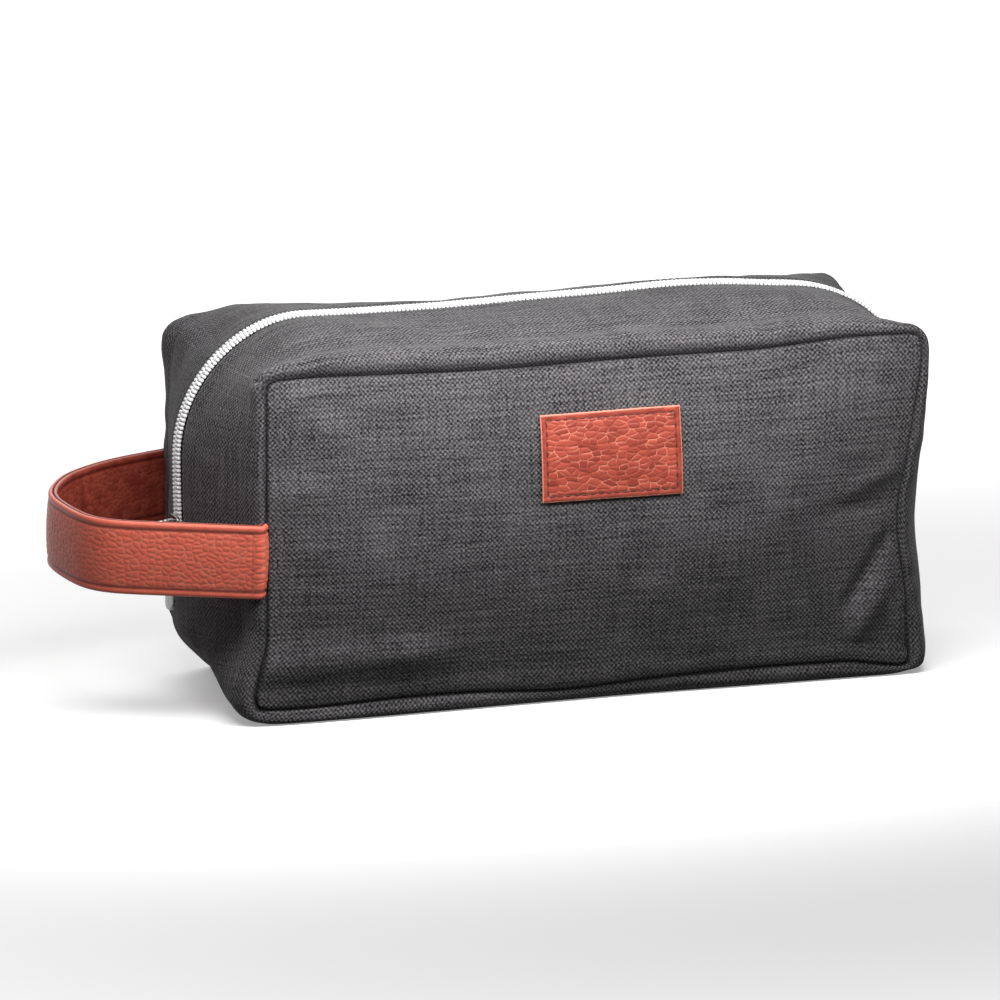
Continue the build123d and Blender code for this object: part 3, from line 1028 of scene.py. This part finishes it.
def placingTree():
    group = bpy.data.node_groups.new("placeAlong", "GeometryNodeTree")
    for name in ("Geometry Path", "Object Shape", "Float Pitch", "Float Sway", "Material Material"):
        kind, label = name.split()
        group.interface.new_socket(label, in_out="INPUT", socket_type="NodeSocket" + kind)
    group.interface.new_socket("Pieces", in_out="OUTPUT", socket_type="NodeSocketGeometry")
    add = NodeTree(group).node
    given = add("NodeGroupInput")
    curve = add("GeometryNodeMeshToCurve", {}, {"Mesh": given.part("Path")})
    even = add(
        "GeometryNodeResampleCurve", {"mode": "LENGTH"}, {"Curve": curve, "Length": given.part("Pitch")}
    )
    outward, along = (
        add("GeometryNodeInputNamedAttribute", {"data_type": "FLOAT_VECTOR"}, {"Name": key})
        for key in ("outward", "along")
    )
    facing = add(
        "FunctionNodeAxesToRotation", {"primary_axis": "Z", "secondary_axis": "X"},
        {"Primary Axis": outward.part("Attribute"), "Secondary Axis": along.part("Attribute")},
    )
    chance = add(
        "FunctionNodeRandomValue", {"data_type": "FLOAT_VECTOR"},
        {"Min": (-1, -1, -1), "Max": (1, 1, 1), "Seed": 7},
    )
    swing = add("ShaderNodeVectorMath", {"operation": "SCALE"}, {0: chance, "Scale": given.part("Sway")})
    turned = add(
        "FunctionNodeRotateRotation", {"rotation_space": "LOCAL"},
        {"Rotation": facing, "Rotate By": swing},
    )
    shape = add("GeometryNodeObjectInfo", {}, {"Object": given.part("Shape")})
    placed = add(
        "GeometryNodeInstanceOnPoints", {},
        {"Points": even, "Instance": shape.part("Geometry"), "Rotation": turned},
    )
    real = add("GeometryNodeRealizeInstances", {}, {"Geometry": placed})
    dressed = add(
        "GeometryNodeSetMaterial", {}, {"Geometry": real, "Material": given.part("Material")}
    )
    add("NodeGroupOutput", {}, {0: dressed})
    return group


placeAlong = placingTree()


def placeShapes(name, paths, shape, pitch, material, sway=0.0):
    # paths: lists of (points, outward vectors, along vectors), in millimetres
    points, edges, outward, along, count = [], [], [], [], 0
    for line, out, ahead in paths:
        points.append(line)
        outward.append(np.broadcast_to(out, line.shape))
        along.append(np.broadcast_to(ahead, line.shape))
        edges += [(count + place, count + place + 1) for place in range(len(line) - 1)]
        count += len(line)
    mesh = bpy.data.meshes.new(name)
    mesh.from_pydata((np.vstack(points) * mm).tolist(), edges, [])
    for key, value in (("outward", outward), ("along", along)):
        layer = mesh.attributes.new(key, "FLOAT_VECTOR", "POINT")
        layer.data.foreach_set("vector", np.vstack(value).ravel())
    made = addObject(name, mesh)
    maker = made.modifiers.new("placeAlong", "NODES")
    maker.node_group = placeAlong
    sockets = {item.name: item.identifier for item in placeAlong.interface.items_tree}
    for key, value in (("Shape", shape), ("Pitch", pitch * mm), ("Sway", sway), ("Material", material)):
        maker[sockets[key]] = value
    ready = made.evaluated_get(bpy.context.evaluated_depsgraph_get())
    result = bpy.data.meshes.new_from_object(ready)
    made.modifiers.clear()
    made.data = result
    for key in ("outward", "along"):
        if key in result.attributes:
            result.attributes.remove(result.attributes[key])
    shadeSmooth(result)
    return made


def loftedShape(name, rings, material):
    # A small closed shape from rings of points, capped at both ends
    rings = np.array(rings)
    return newPiece(name, rings, cappedFaces(*rings.shape[:2]), material, outward="volume")


# Zip coil: one tooth is half a turn of the coil, flattened, and pinched by the sewing

coil = {  # stations go from the middle of the zip to the coil's outer edge
    "pitch": 1.6, "stations": (0.06, 0.3, 0.9, 1.5, 1.8, 2.1, 2.6, 2.95, 3.15),
    "widths": (1.3, 1.58, 1.58, 1.5, 0.95, 1.45, 1.56, 1.1, 0.5),
    "heights": (1.35, 1.6, 1.7, 1.62, 1.15, 1.5, 1.55, 1.15, 0.6),
    "lift": -0.45, "square": 0.45, "clear": 0.3,  # of a pitch, kept free at the cross seam
}


def coilTooth():
    rings = []
    turn = np.linspace(0, np.pi, 6)
    for across, width, height in zip(coil["stations"], coil["widths"], coil["heights"]):
        rings.append([
            (width / 2 * math.cos(angle), across, height * abs(math.sin(angle)) ** coil["square"])
            for angle in turn
        ])
    return loftedShape("coilTooth", rings, coilNylon)


def coilPath(front, right):
    # measured from the top middle, where the left and right rows meet one pitch apart
    start, end = bandParts["upper"][1]
    first = coil["pitch"] * (0.5 if front else 0 if right else 1)
    at = np.arange(end - first, start + coil["pitch"] * coil["clear"], -coil["pitch"])
    mirror = -1 if right else 1
    outward = inSpace(outlineNormal(zipLine, at), 0, mirror)
    points = settle(inSpace(onLine(zipLine, at), 0, mirror) + outward * coil["lift"])
    along = np.gradient(points, axis=0)
    return points, outward, unit(along if front == right else -along)


tooth = coilTooth()
for front, right in quarters:
    name, corner, top = quarterNames(front, right)
    row = placeShapes("zipCoil" + name, [coilPath(front, right)], tooth, coil["pitch"], coilNylon)
    swingWith(row, front, right, "zip_coil", "zip_coil_" + corner, "zip_coil_" + top)


# Stitches

stitchProfile = (  # place along the stitch, size and depth in the cloth, as shares
    (-0.5, 0.35, 0.55), (-0.42, 0.85, 0.25), (-0.15, 1, 0),
    (0.15, 1, 0), (0.42, 0.85, 0.25), (0.5, 0.35, 0.55),
)


def stitchShape(name, length, thickness, material):
    # A short thread, round in section, that dips into the cloth at both ends
    rings = []
    turn = np.linspace(0, 2 * np.pi, 7)[:-1]
    for share, size, drop in stitchProfile:
        radius = thickness / 2 * size
        rings.append([
            (share * length, radius * math.cos(angle), radius * math.sin(angle) - drop * thickness)
            for angle in turn
        ])
    return loftedShape(name, rings, material)


topstitch = {
    "inside": 2.1, "pitch": 2.7, "length": 2.1, "thickness": 0.34, "proud": 0.1,
    "run": (0.012, 0.995), "points": 160, "beside": 0.02, "sway": 0.05,
}
clothStitch = stitchShape("clothStitch", topstitch["length"], topstitch["thickness"], fabricThread)


def topstitchPath(front, right):
    share = np.linspace(*topstitch["run"], topstitch["points"])[:, None]
    near = (bag["foldEdge"] + topstitch["inside"]) / bag["seamDepth"]
    across = near + topstitch["beside"] * np.array([[-1, 0, 1]])
    points = bandPoints("upper", share, across, front, right)
    normals = gridNormals(points)
    waves = bandWaves("upper", points, *np.broadcast_arrays(share, across))
    points = settle(points + normals * (waves[..., None] + topstitch["proud"]))[:, 1]
    return points, normals[:, 1], unit(np.gradient(points, axis=0))


for front, right in quarters:
    name = quarterNames(front, right)[0]
    row = placeShapes(
        "zipTopstitch" + name, [topstitchPath(front, right)], clothStitch, topstitch["pitch"],
        fabricThread, topstitch["sway"],
    )
    swingWith(row, front, right, "shell_fabric")
print("zip made")


# Leather grain: pebbles between creases, as a height and as a colour

grain = {"wander": 0.07, "wanderLength": 2.2, "cells": 64, "margin": 0.1}


def pebble(u, v, wide, tall, seed, upright):
    # Distance to the nearest crease, in cells, and a number for each cell; upright thins those creases
    cells, margin = grain["cells"], grain["margin"]
    place = np.stack([u / wide, v / tall], -1)
    wander = [ripple(place, grain["wanderLength"], seed + step) for step in (0, 1)]
    place = place + grain["wander"] * np.stack(wander, -1)
    chance = np.random.default_rng(seed).random((cells, cells, 3))
    home = np.floor(place).astype(int)
    seeds, tones = [], []
    for stepU in (-1, 0, 1):
        for stepV in (-1, 0, 1):
            cell = home + [stepU, stepV]
            drawn = chance[cell[..., 0] % cells, cell[..., 1] % cells]
            seeds.append(cell + margin + (1 - 2 * margin) * drawn[..., :2])
            tones.append(drawn[..., 2])
    seeds, tones = np.stack(seeds), np.stack(tones)
    distance = np.linalg.norm(seeds - place, axis=-1)
    nearest = distance.argmin(0)
    own = np.take_along_axis(seeds, nearest[None, ..., None], 0)[0]
    edge = np.full(nearest.shape, 9.0)
    for other in seeds:
        between = other - own
        size = np.linalg.norm(between, axis=-1)
        gap = (((own + other) / 2 - place) * between).sum(-1) / np.maximum(size, 1e-9)
        gap = gap * (1 + upright * np.abs(between[..., 0]) / np.maximum(size, 1e-9))
        edge = np.where(size > 1e-6, np.minimum(edge, gap), edge)
    return edge, np.take_along_axis(tones, nearest[None], 0)[0]


def comeAndGo(places, level, amount, wavelength, seed, least):
    # Creases are deep in some places and faint in others
    return np.clip(level + amount * ripple(places, wavelength, seed), least, 1)


def lineAt(form, key, inset, place="stitchIn"):
    # A line at a distance from the rim or the end; the form gives its strength and width
    strength, width = form[key]
    return strength * bell(inset, form[place], width)


# Label: a bare leather patch sewn to the front

label = {
    "thickness": 1.3, "grain": (4.0, 2.1), "depth": 0.2, "step": 0.28, "stitchIn": 2.2,
    "pitch": 3.2, "stitch": 2.2, "thread": 0.42, "sway": 0.06, "shift": (-3.2, 0, 1.4), "proud": 0.1,
    "upright": 0.9, "field": (1.8, 2.8), "creaseWidth": (0.01, 0.13), "pebbleEdge": 0.3,
    "faint": (0.62, 0.38, 7, 51, 0.2), "rimCrease": 0.25, "rimDepth": 0.3,  # the grain beside the rim
    "sunk": (0.24, 0.5), "paintedShade": (0.55, 0.4), "rim": 0.35, "rimWidth": (-0.1, 0.8),
    "cut": 1.2, "cutEdge": (0.15, 0.6), "threadSink": 0.12, "toneSpread": 0.35,
}
labelLow, labelHigh = (np.array(corner) / mm + label["shift"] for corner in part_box("label_patch"))


def labelFaceY(x, z):
    return panelFaceY(x, z) - label["thickness"] - label["proud"]


def labelPatch(name):
    columns = round((labelHigh[0] - labelLow[0]) / label["step"]) + 1
    rows = round((labelHigh[2] - labelLow[2]) / label["step"]) + 1
    x, z = np.meshgrid(
        np.linspace(labelLow[0], labelHigh[0], columns), np.linspace(labelLow[2], labelHigh[2], rows)
    )
    edge, tone = pebble(x, z, *label["grain"], 21, label["upright"])
    inset = np.minimum(
        np.minimum(x - labelLow[0], labelHigh[0] - x), np.minimum(z - labelLow[2], labelHigh[2] - z)
    )
    flat = np.stack([x, z], -1)
    field = smooth(inset, *label["field"])
    crease = (1 - smooth(edge, *label["creaseWidth"])) * between(label["rimCrease"], 1, field)
    crease = crease * comeAndGo(flat, *label["faint"])
    crease = np.maximum(crease, label["cut"] * (1 - smooth(inset, *label["cutEdge"])))
    height = label["depth"] * (smooth(edge, 0, label["pebbleEdge"]) - 1)
    height = height * between(label["rimDepth"], 1, field)
    rim = label["rim"] * (1 - smooth(inset, *label["rimWidth"]))
    y = labelFaceY(x, z) - height + lineAt(label, "sunk", inset) + rim
    # The label's stitch line is darkened in colour as painted shade
    made = newPiece(
        name, settle(inSpace(flat, y)), gridFaces(*x.shape), leatherSkin, flat, "centre",
        {
            "crease": crease, "tone": leather["labelTone"] + label["toneSpread"] * tone,
            "paintedShade": lineAt(label, "paintedShade", inset),
        },
    )
    return thicken(made, label["thickness"])


def labelStitchPaths():
    inset = label["stitchIn"]
    corners = [
        (labelLow[0] + inset, labelLow[2] + inset), (labelHigh[0] - inset, labelLow[2] + inset),
        (labelHigh[0] - inset, labelHigh[2] - inset), (labelLow[0] + inset, labelHigh[2] - inset),
    ]
    paths = []
    for place in range(4):
        start, end = np.array(corners[place]), np.array(corners[(place + 1) % 4])
        ahead = unit(end - start)
        start, end = start + ahead * label["pitch"] / 2, end - ahead * label["pitch"] / 2
        flat = start + np.linspace(0, 1, 12)[:, None] * (end - start)
        points = settle(inSpace(flat, labelFaceY(*flat.T) + label["threadSink"]))
        paths.append((points, np.array([0, -1.0, 0]), np.array([ahead[0], 0, ahead[1]])))
    return paths


rideOn(labelPatch("labelPatch"), "shell", "leather", "label_patch")
labelStitch = stitchShape("labelStitch", label["stitch"], label["thread"], leatherThread)
rideOn(
    placeShapes(
        "labelStitching", labelStitchPaths(), labelStitch, label["pitch"], leatherThread, label["sway"]
    ),
    "shell", "leather_thread", "label_stitching",
)
print("label made")


# Handle: a loop of two leather layers in a plane that leans up towards the back

strap = {
    "width": 28.0, "layer": 1.45, "gap": 0.12, "lean": 4.8, "frontHeight": 62.7,
    "corners": (
        (-131.4, -54.4), (-188.5, -31.0), (-194.0, 6.0), (-180.5, 30.0), (-158.5, 45.0), (-131.4, 54.4)
    ),
    "bends": (12.0, 20.0, 24.0, 30.0), "soften": 11.0,
    "endBend": 1.0, "endTurn": 74.0, "tail": 3.0,  # each end turns into its seam and runs on inside
    "step": 0.32, "grain": (2.8, 2.1), "depth": 0.2, "stitchIn": 2.7, "pitch": 2.9,
    "stitch": 2.0, "thread": 0.42, "sway": 0.05, "endStitch": 1.8,
    "upright": 0.3, "field": (2.4, 3.6), "creaseWidth": (0.02, 0.17), "pebbleEdge": 0.3,
    # The stitch lines are darkened in colour as painted shade, and the rims painted paler as a painted
    # highlight
    "rimHighlight": 0.35, "rimHighlightWidth": (0.0, 1.4), "paintedShade": (0.85, 0.65), "endPaintedShade": (0.3, 0.45),
    "sunk": (0.34, 0.6), "rim": (0.16, 1.2, 0.9), "endSunk": (0.2, 0.5),
    "dome": (0.3, 0.9), "creaseTone": (0.4, 0.7), "seeds": (41, 31),  # inner layer, outer layer
    "faint": (0.55, 0.45, 9, 52, 0.15), "rimCrease": 0.1, "apart": 40, "hiddenFace": 0.3,
    "toneSpread": 0.3, "threadSink": 0.14, "endClear": 2,
    # the dent on the inner layer is sunk and darkened in colour as painted shade
    "dent": (-172.0, 36.0), "dentWidth": 1.8, "dentHeight": (-2, 12), "dentDepth": 0.6, "dentPaintedShade": 0.7,
}


def filletedLine(corners, bends, step):
    # Straight runs joined by tangent arcs, then sampled evenly
    corners = np.array(corners)
    points = [corners[0]]
    for before, corner, after, radius in zip(corners, corners[1:], corners[2:], bends):
        back, ahead = unit(before - corner), unit(after - corner)
        half = math.acos(np.clip(back @ ahead, -1, 1)) / 2
        middle = corner + unit(back + ahead) * radius / math.sin(half)
        start, end = corner + back * radius / math.tan(half), corner + ahead * radius / math.tan(half)
        first, last = start - middle, end - middle
        sweep = math.atan2(first[0] * last[1] - first[1] * last[0], first @ last)
        for angle in np.linspace(0, sweep, 24):
            turn = np.array([[math.cos(angle), -math.sin(angle)], [math.sin(angle), math.cos(angle)]])
            points.append(middle + turn @ first)
    points.append(corners[-1])
    line = np.array(points)
    return onLine(line, np.linspace(0, lengths(line)[-1], round(lengths(line)[-1] / step) + 1))


def tuckedEnd(end, heading, inside):
    # From the end of the line round a tight bend into the seam, and on under the cloth
    turn = np.radians(strap["endTurn"]) * np.linspace(0, 1, 8)[1:, None]
    bend = end + strap["endBend"] * (np.sin(turn) * heading + (1 - np.cos(turn)) * inside)
    onward = np.cos(turn[-1]) * heading + np.sin(turn[-1]) * inside
    return np.vstack([bend, bend[-1] + onward * strap["tail"] * np.linspace(0, 1, 7)[1:, None]])


def strapLine():
    # The plan of the strap, softened, with its ends tucked into the seams
    line = filletedLine(strap["corners"], strap["bends"], strap["step"])
    reach = round(3 * strap["soften"] / strap["step"])
    weights = bell(np.arange(-reach, reach + 1) * strap["step"], 0, strap["soften"])
    ahead, back = line[0] - line[1], line[-1] - line[-2]
    padded = np.vstack([
        line[0] + ahead * np.arange(reach, 0, -1)[:, None], line,
        line[-1] + back * np.arange(1, reach + 1)[:, None],
    ])
    line = np.stack([np.convolve(padded[:, axis], weights / weights.sum(), "valid") for axis in (0, 1)], -1)
    front, rear = unit(ahead), unit(back)
    return np.vstack([
        tuckedEnd(line[0], front, np.array([-front[1], front[0]]))[::-1], line,
        tuckedEnd(line[-1], rear, np.array([rear[1], -rear[0]])),
    ])


strapPlan = strapLine()
strapRun = lengths(strapPlan)
strapTuck = strap["tail"] + strap["endBend"] * math.radians(strap["endTurn"])  # hidden at each end
leanAngle = math.radians(strap["lean"])
strapUp = np.array([0, -math.sin(leanAngle), math.cos(leanAngle)])
strapBack = np.array([0, math.cos(leanAngle), math.sin(leanAngle)])
strapLift = strap["frontHeight"] + bag["seamDepth"] * math.tan(leanAngle)


def strapPoint(plan, height):
    # From the leaning plane to the bag's own frame
    origin = np.array([0, 0, strapLift])
    return (origin + plan[..., :1] * np.array([1.0, 0, 0]) + plan[..., 1:2] * strapBack
            + np.asarray(height)[..., None] * strapUp)


planAhead = unit(np.gradient(strapPlan, axis=0))
planOut = np.column_stack([planAhead[:, 1], -planAhead[:, 0]])  # away from the loop's inside
if (planOut[len(planOut) // 2] @ [-1, 0]) < 0:
    planOut = -planOut


def strapSection():
    # Round one layer: the grained face, a round rim, the hidden face, a rim
    half, thick = strap["width"] / 2, strap["layer"]
    rim = thick / 2
    face = np.linspace(rim - half, half - rim, round((strap["width"] - thick) / strap["step"]) + 1)
    turn = np.linspace(0, np.pi, 7)[1:-1]
    upper = np.column_stack([half - rim + rim * np.sin(turn), rim + rim * np.cos(turn)])
    hidden = np.column_stack([np.linspace(half - rim, rim - half, 8), np.zeros(8)])
    lower = np.column_stack([rim - half - rim * np.sin(turn), rim - rim * np.cos(turn)])
    front = np.column_stack([face, np.full(len(face), thick)])
    return np.vstack([front, upper, hidden, lower]), len(face)


def strapLayer(name, outer):
    section, faceCount = strapSection()
    way = 1 if outer else -1
    run, across = np.meshgrid(strapRun, section[:, 0], indexing="ij")
    depth = np.broadcast_to(section[:, 1], run.shape).copy()
    onFace = np.arange(len(section)) < faceCount
    rimInset = strap["width"] / 2 - np.abs(across)
    endInset = np.minimum(run, strapRun[-1] - run) - strapTuck
    edge, tone = pebble(
        run, across + strap["apart"] * outer, *strap["grain"], strap["seeds"][outer], strap["upright"]
    )
    field = smooth(rimInset, *strap["field"]) * onFace
    share = between(strap["rimCrease"], 1, field) * onFace
    faint = comeAndGo(np.stack([run, across], -1), *strap["faint"])
    crease = strap["creaseTone"][outer] * (1 - smooth(edge, *strap["creaseWidth"])) * share * faint
    # the strap's rims are painted paler, as a painted highlight
    crease = np.maximum(crease, strap["rimHighlight"] * (1 - smooth(rimInset, *strap["rimHighlightWidth"])))
    dentAt = strapRun[np.linalg.norm(strapPlan - strap["dent"], axis=1).argmin()]
    dent = bell(run, dentAt, strap["dentWidth"]) * (1 - smooth(across, *strap["dentHeight"]))
    dent = dent * onFace * (not outer)
    # Painted shade: the stitch grooves, the end stitch line, the dent and the faces hidden between the
    # layers are darkened in colour
    paintedShade = np.maximum.reduce([
        lineAt(strap, "paintedShade", rimInset) * onFace,
        lineAt(strap, "endPaintedShade", endInset, "endStitch") * field,
        strap["dentPaintedShade"] * dent,
        np.broadcast_to(section[:, 1] < strap["layer"] * strap["hiddenFace"], run.shape) * 1.0,
    ])
    depth += strap["depth"] * (smooth(edge, 0, strap["pebbleEdge"]) - 1) * field
    depth -= lineAt(strap, "sunk", rimInset) * onFace
    depth += humps(rimInset, strap["rim"]) * onFace
    depth -= lineAt(strap, "endSunk", endInset, "endStitch") * field
    depth += strap["dome"][outer] * (1 - (2 * across / strap["width"]) ** 2) * onFace
    depth -= strap["dentDepth"] * dent
    plan = strapPlan[:, None, :] + planOut[:, None, :] * (way * (depth + strap["gap"] / 2))[..., None]
    points = strapPoint(plan, across)
    faces = cappedFaces(*points.shape[:2])
    if not outer:
        faces = [face[::-1] for face in faces]
    # the outer layer's grain is painted lighter than the other pieces': painted light
    lightness = leather["outerPaintedLight" if outer else "innerTone"]
    return newPiece(
        name, points, faces, leatherSkin, np.stack([run, across + depth], -1), None,
        {"crease": crease, "tone": lightness + strap["toneSpread"] * tone, "paintedShade": paintedShade},
    )


def flexWith(piece, slot, *nodes):
    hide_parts(*nodes)
    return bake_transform(piece)


def strapStitchPaths():
    paths = []
    plan = strapPlan + planOut * (strap["layer"] + strap["gap"] / 2 - strap["threadSink"])
    hidden = strapTuck + strap["endStitch"]
    inside = np.flatnonzero((strapRun > hidden) & (strapRun < strapRun[-1] - hidden))
    outward = planOut[:, :1] * np.array([1.0, 0, 0]) + planOut[:, 1:] * strapBack
    ahead = planAhead[:, :1] * np.array([1.0, 0, 0]) + planAhead[:, 1:] * strapBack
    reach = strap["width"] / 2 - strap["stitchIn"]
    for height in (reach, -reach):
        line = strapPoint(plan, np.full(len(plan), height))
        paths.append((line[inside], outward[inside], ahead[inside]))
    for place in (inside[0], inside[-1]):
        heights = np.linspace(strap["endClear"] - reach, reach - strap["endClear"], 8)
        line = strapPoint(np.broadcast_to(plan[place], (8, 2)), heights)
        paths.append((line, outward[place], strapUp))
    return paths


flexWith(
    strapLayer("handleOuterLayer", True), "leather",
    "handle_outer_layer", "handle_end_front", "handle_end_back",
)
flexWith(strapLayer("handleInnerLayer", False), "leather", "handle_inner_layer")
strapStitch = stitchShape("strapStitch", strap["stitch"], strap["thread"], leatherThread)
flexWith(
    placeShapes(
        "handleStitching", strapStitchPaths(), strapStitch, strap["pitch"], leatherThread, strap["sway"]
    ),
    "leather_thread", "handle_stitching", "handle_end_stitching",
)
print("handle made")


# Metal: the slider and its pull tab keep their CAD shape, with softened edges

metal = {"same": 0.001, "flat": 2, "edge": 35, "segments": 3}  # angles in degrees


def cleanMesh(work):
    bmesh.ops.remove_doubles(work, verts=work.verts, dist=metal["same"] * mm)
    bmesh.ops.dissolve_limit(
        work, angle_limit=math.radians(metal["flat"]), verts=work.verts, edges=work.edges
    )


def softenedMetal(node, name, body, bevelWidth):
    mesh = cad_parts[node].data.copy()
    rework(mesh, cleanMesh)
    mesh.materials.clear()
    mesh.materials.append(nickel)
    shadeSmooth(mesh)
    piece = addObject(name, mesh)
    edge = piece.modifiers.new("softEdge", "BEVEL")
    edge.width, edge.segments, edge.limit_method = bevelWidth * mm, metal["segments"], "ANGLE"
    edge.angle_limit = math.radians(metal["edge"])
    edge.harden_normals = True
    rideOn(piece, body, "nickel", node)


softenedMetal("slider_body", "sliderBody", "slider", 0.3)
softenedMetal("pull_tab", "pullTab", "pull", 0.35)
for shape in (tooth, clothStitch, labelStitch, strapStitch):
    bpy.data.objects.remove(shape)
print("metal made")


# Studio

studio = {
    "azimuth": -20.0, "elevation": 11.5, "target": (-0.0166, 0, 0.0677), "distance": 3.3,
    "lens": 313.8, "sky": 0.15, "floorSize": 12, "floorBounce": 0.1, "floorColour": 0.86,
    "floorGlow": (0.3, 1.0), "glowReach": (0.25, 0.8),
}
lamps = {  # place, aim, width and depth in metres, watts
    "frontSoftbox": ((-0.04, -0.148, 0.23), (-0.04, -0.06, 0.1), (0.42, 0.08), 1.12),
    "backSoftbox": ((-0.05, 0.45, 0.5), (0, 0.03, 0.08), (0.8, 0.4), 2.8),
}


def seenOrMirrored(finish):
    # 1 for the camera's rays and for those of gloss and glass
    camera = finish.node("ShaderNodeLightPath")
    glossy, through = camera.part("Is Glossy Ray"), camera.part("Is Transmission Ray")
    return glossy.join("MAXIMUM", camera.join("MAXIMUM", camera, glossy), through)


def makeFloor():
    # White where it is seen, with the bag's soft shadow, and grey as a reflector of light
    size = studio["floorSize"]
    corners = [(-size, -size, 0), (size, -size, 0), (size, size, 0), (-size, size, 0)]
    mesh = bpy.data.meshes.new("floor")
    mesh.from_pydata(corners, [], [(0, 1, 2, 3)])
    ground = addObject("floor", mesh)
    finish = Finish("floor")
    away = finish.node("ShaderNodeVectorMath", {"operation": "LENGTH"}, [finish.place()], 1)
    glow = finish.ranged(away, *studio["glowReach"], *studio["floorGlow"])
    white, grey = ((studio[key],) * 3 + (1,) for key in ("floorColour", "floorBounce"))
    seen = finish.node("ShaderNodeAddShader", {}, [
        finish.node("ShaderNodeBsdfDiffuse", {}, [white]),
        finish.node("ShaderNodeEmission", {}, [finish.vector(glow, glow, glow), 1.0]),
    ])
    reflector = finish.node("ShaderNodeBsdfDiffuse", {}, [grey])
    mixed = finish.node("ShaderNodeMixShader", {}, [seenOrMirrored(finish), reflector, seen])
    finish.node("ShaderNodeOutputMaterial", {}, [mixed])
    mesh.materials.append(finish.material)


def makeWorld():
    # White to the camera, the glossy rays and the see-through rays, and softer as light
    world = bpy.data.worlds.new("studio")
    bpy.context.scene.world = world
    world.use_nodes = True
    finish = Finish("studio", world)
    soft = finish.node("ShaderNodeBackground", {}, [(1, 1, 1, 1), studio["sky"]])
    white = finish.node("ShaderNodeBackground", {}, [(1, 1, 1, 1), 1.0])
    mixed = finish.node("ShaderNodeMixShader", {}, [seenOrMirrored(finish), soft, white])
    finish.node("ShaderNodeOutputWorld", {}, [mixed])


def addLamp(name, place, aim, size, power):
    lamp = bpy.data.lights.new(name, "AREA")
    lamp.shape, lamp.size, lamp.size_y, lamp.energy = "RECTANGLE", *size, power
    item = addObject(name, lamp)
    item.location = place
    item.rotation_mode = "QUATERNION"
    item.rotation_quaternion = (Vector(aim) - Vector(place)).to_track_quat("-Z", "Y")


def makeCamera():
    azimuth, elevation = math.radians(studio["azimuth"]), math.radians(studio["elevation"])
    back = Vector((
        math.sin(azimuth) * math.cos(elevation), -math.cos(azimuth) * math.cos(elevation),
        math.sin(elevation),
    ))
    lens = bpy.data.cameras.new("camera")
    lens.lens, lens.sensor_width = studio["lens"], 36
    lens.clip_end = 50
    item = addObject("camera", lens)
    item.location = Vector(studio["target"]) + back * studio["distance"]
    item.rotation_mode = "QUATERNION"
    item.rotation_quaternion = (-back).to_track_quat("-Z", "Y")
    bpy.context.scene.camera = item


makeFloor()
makeWorld()
for name, settings in lamps.items():
    addLamp(name, *settings)
makeCamera()
bpy.context.scene.view_settings.view_transform = "Standard"
print("studio made")
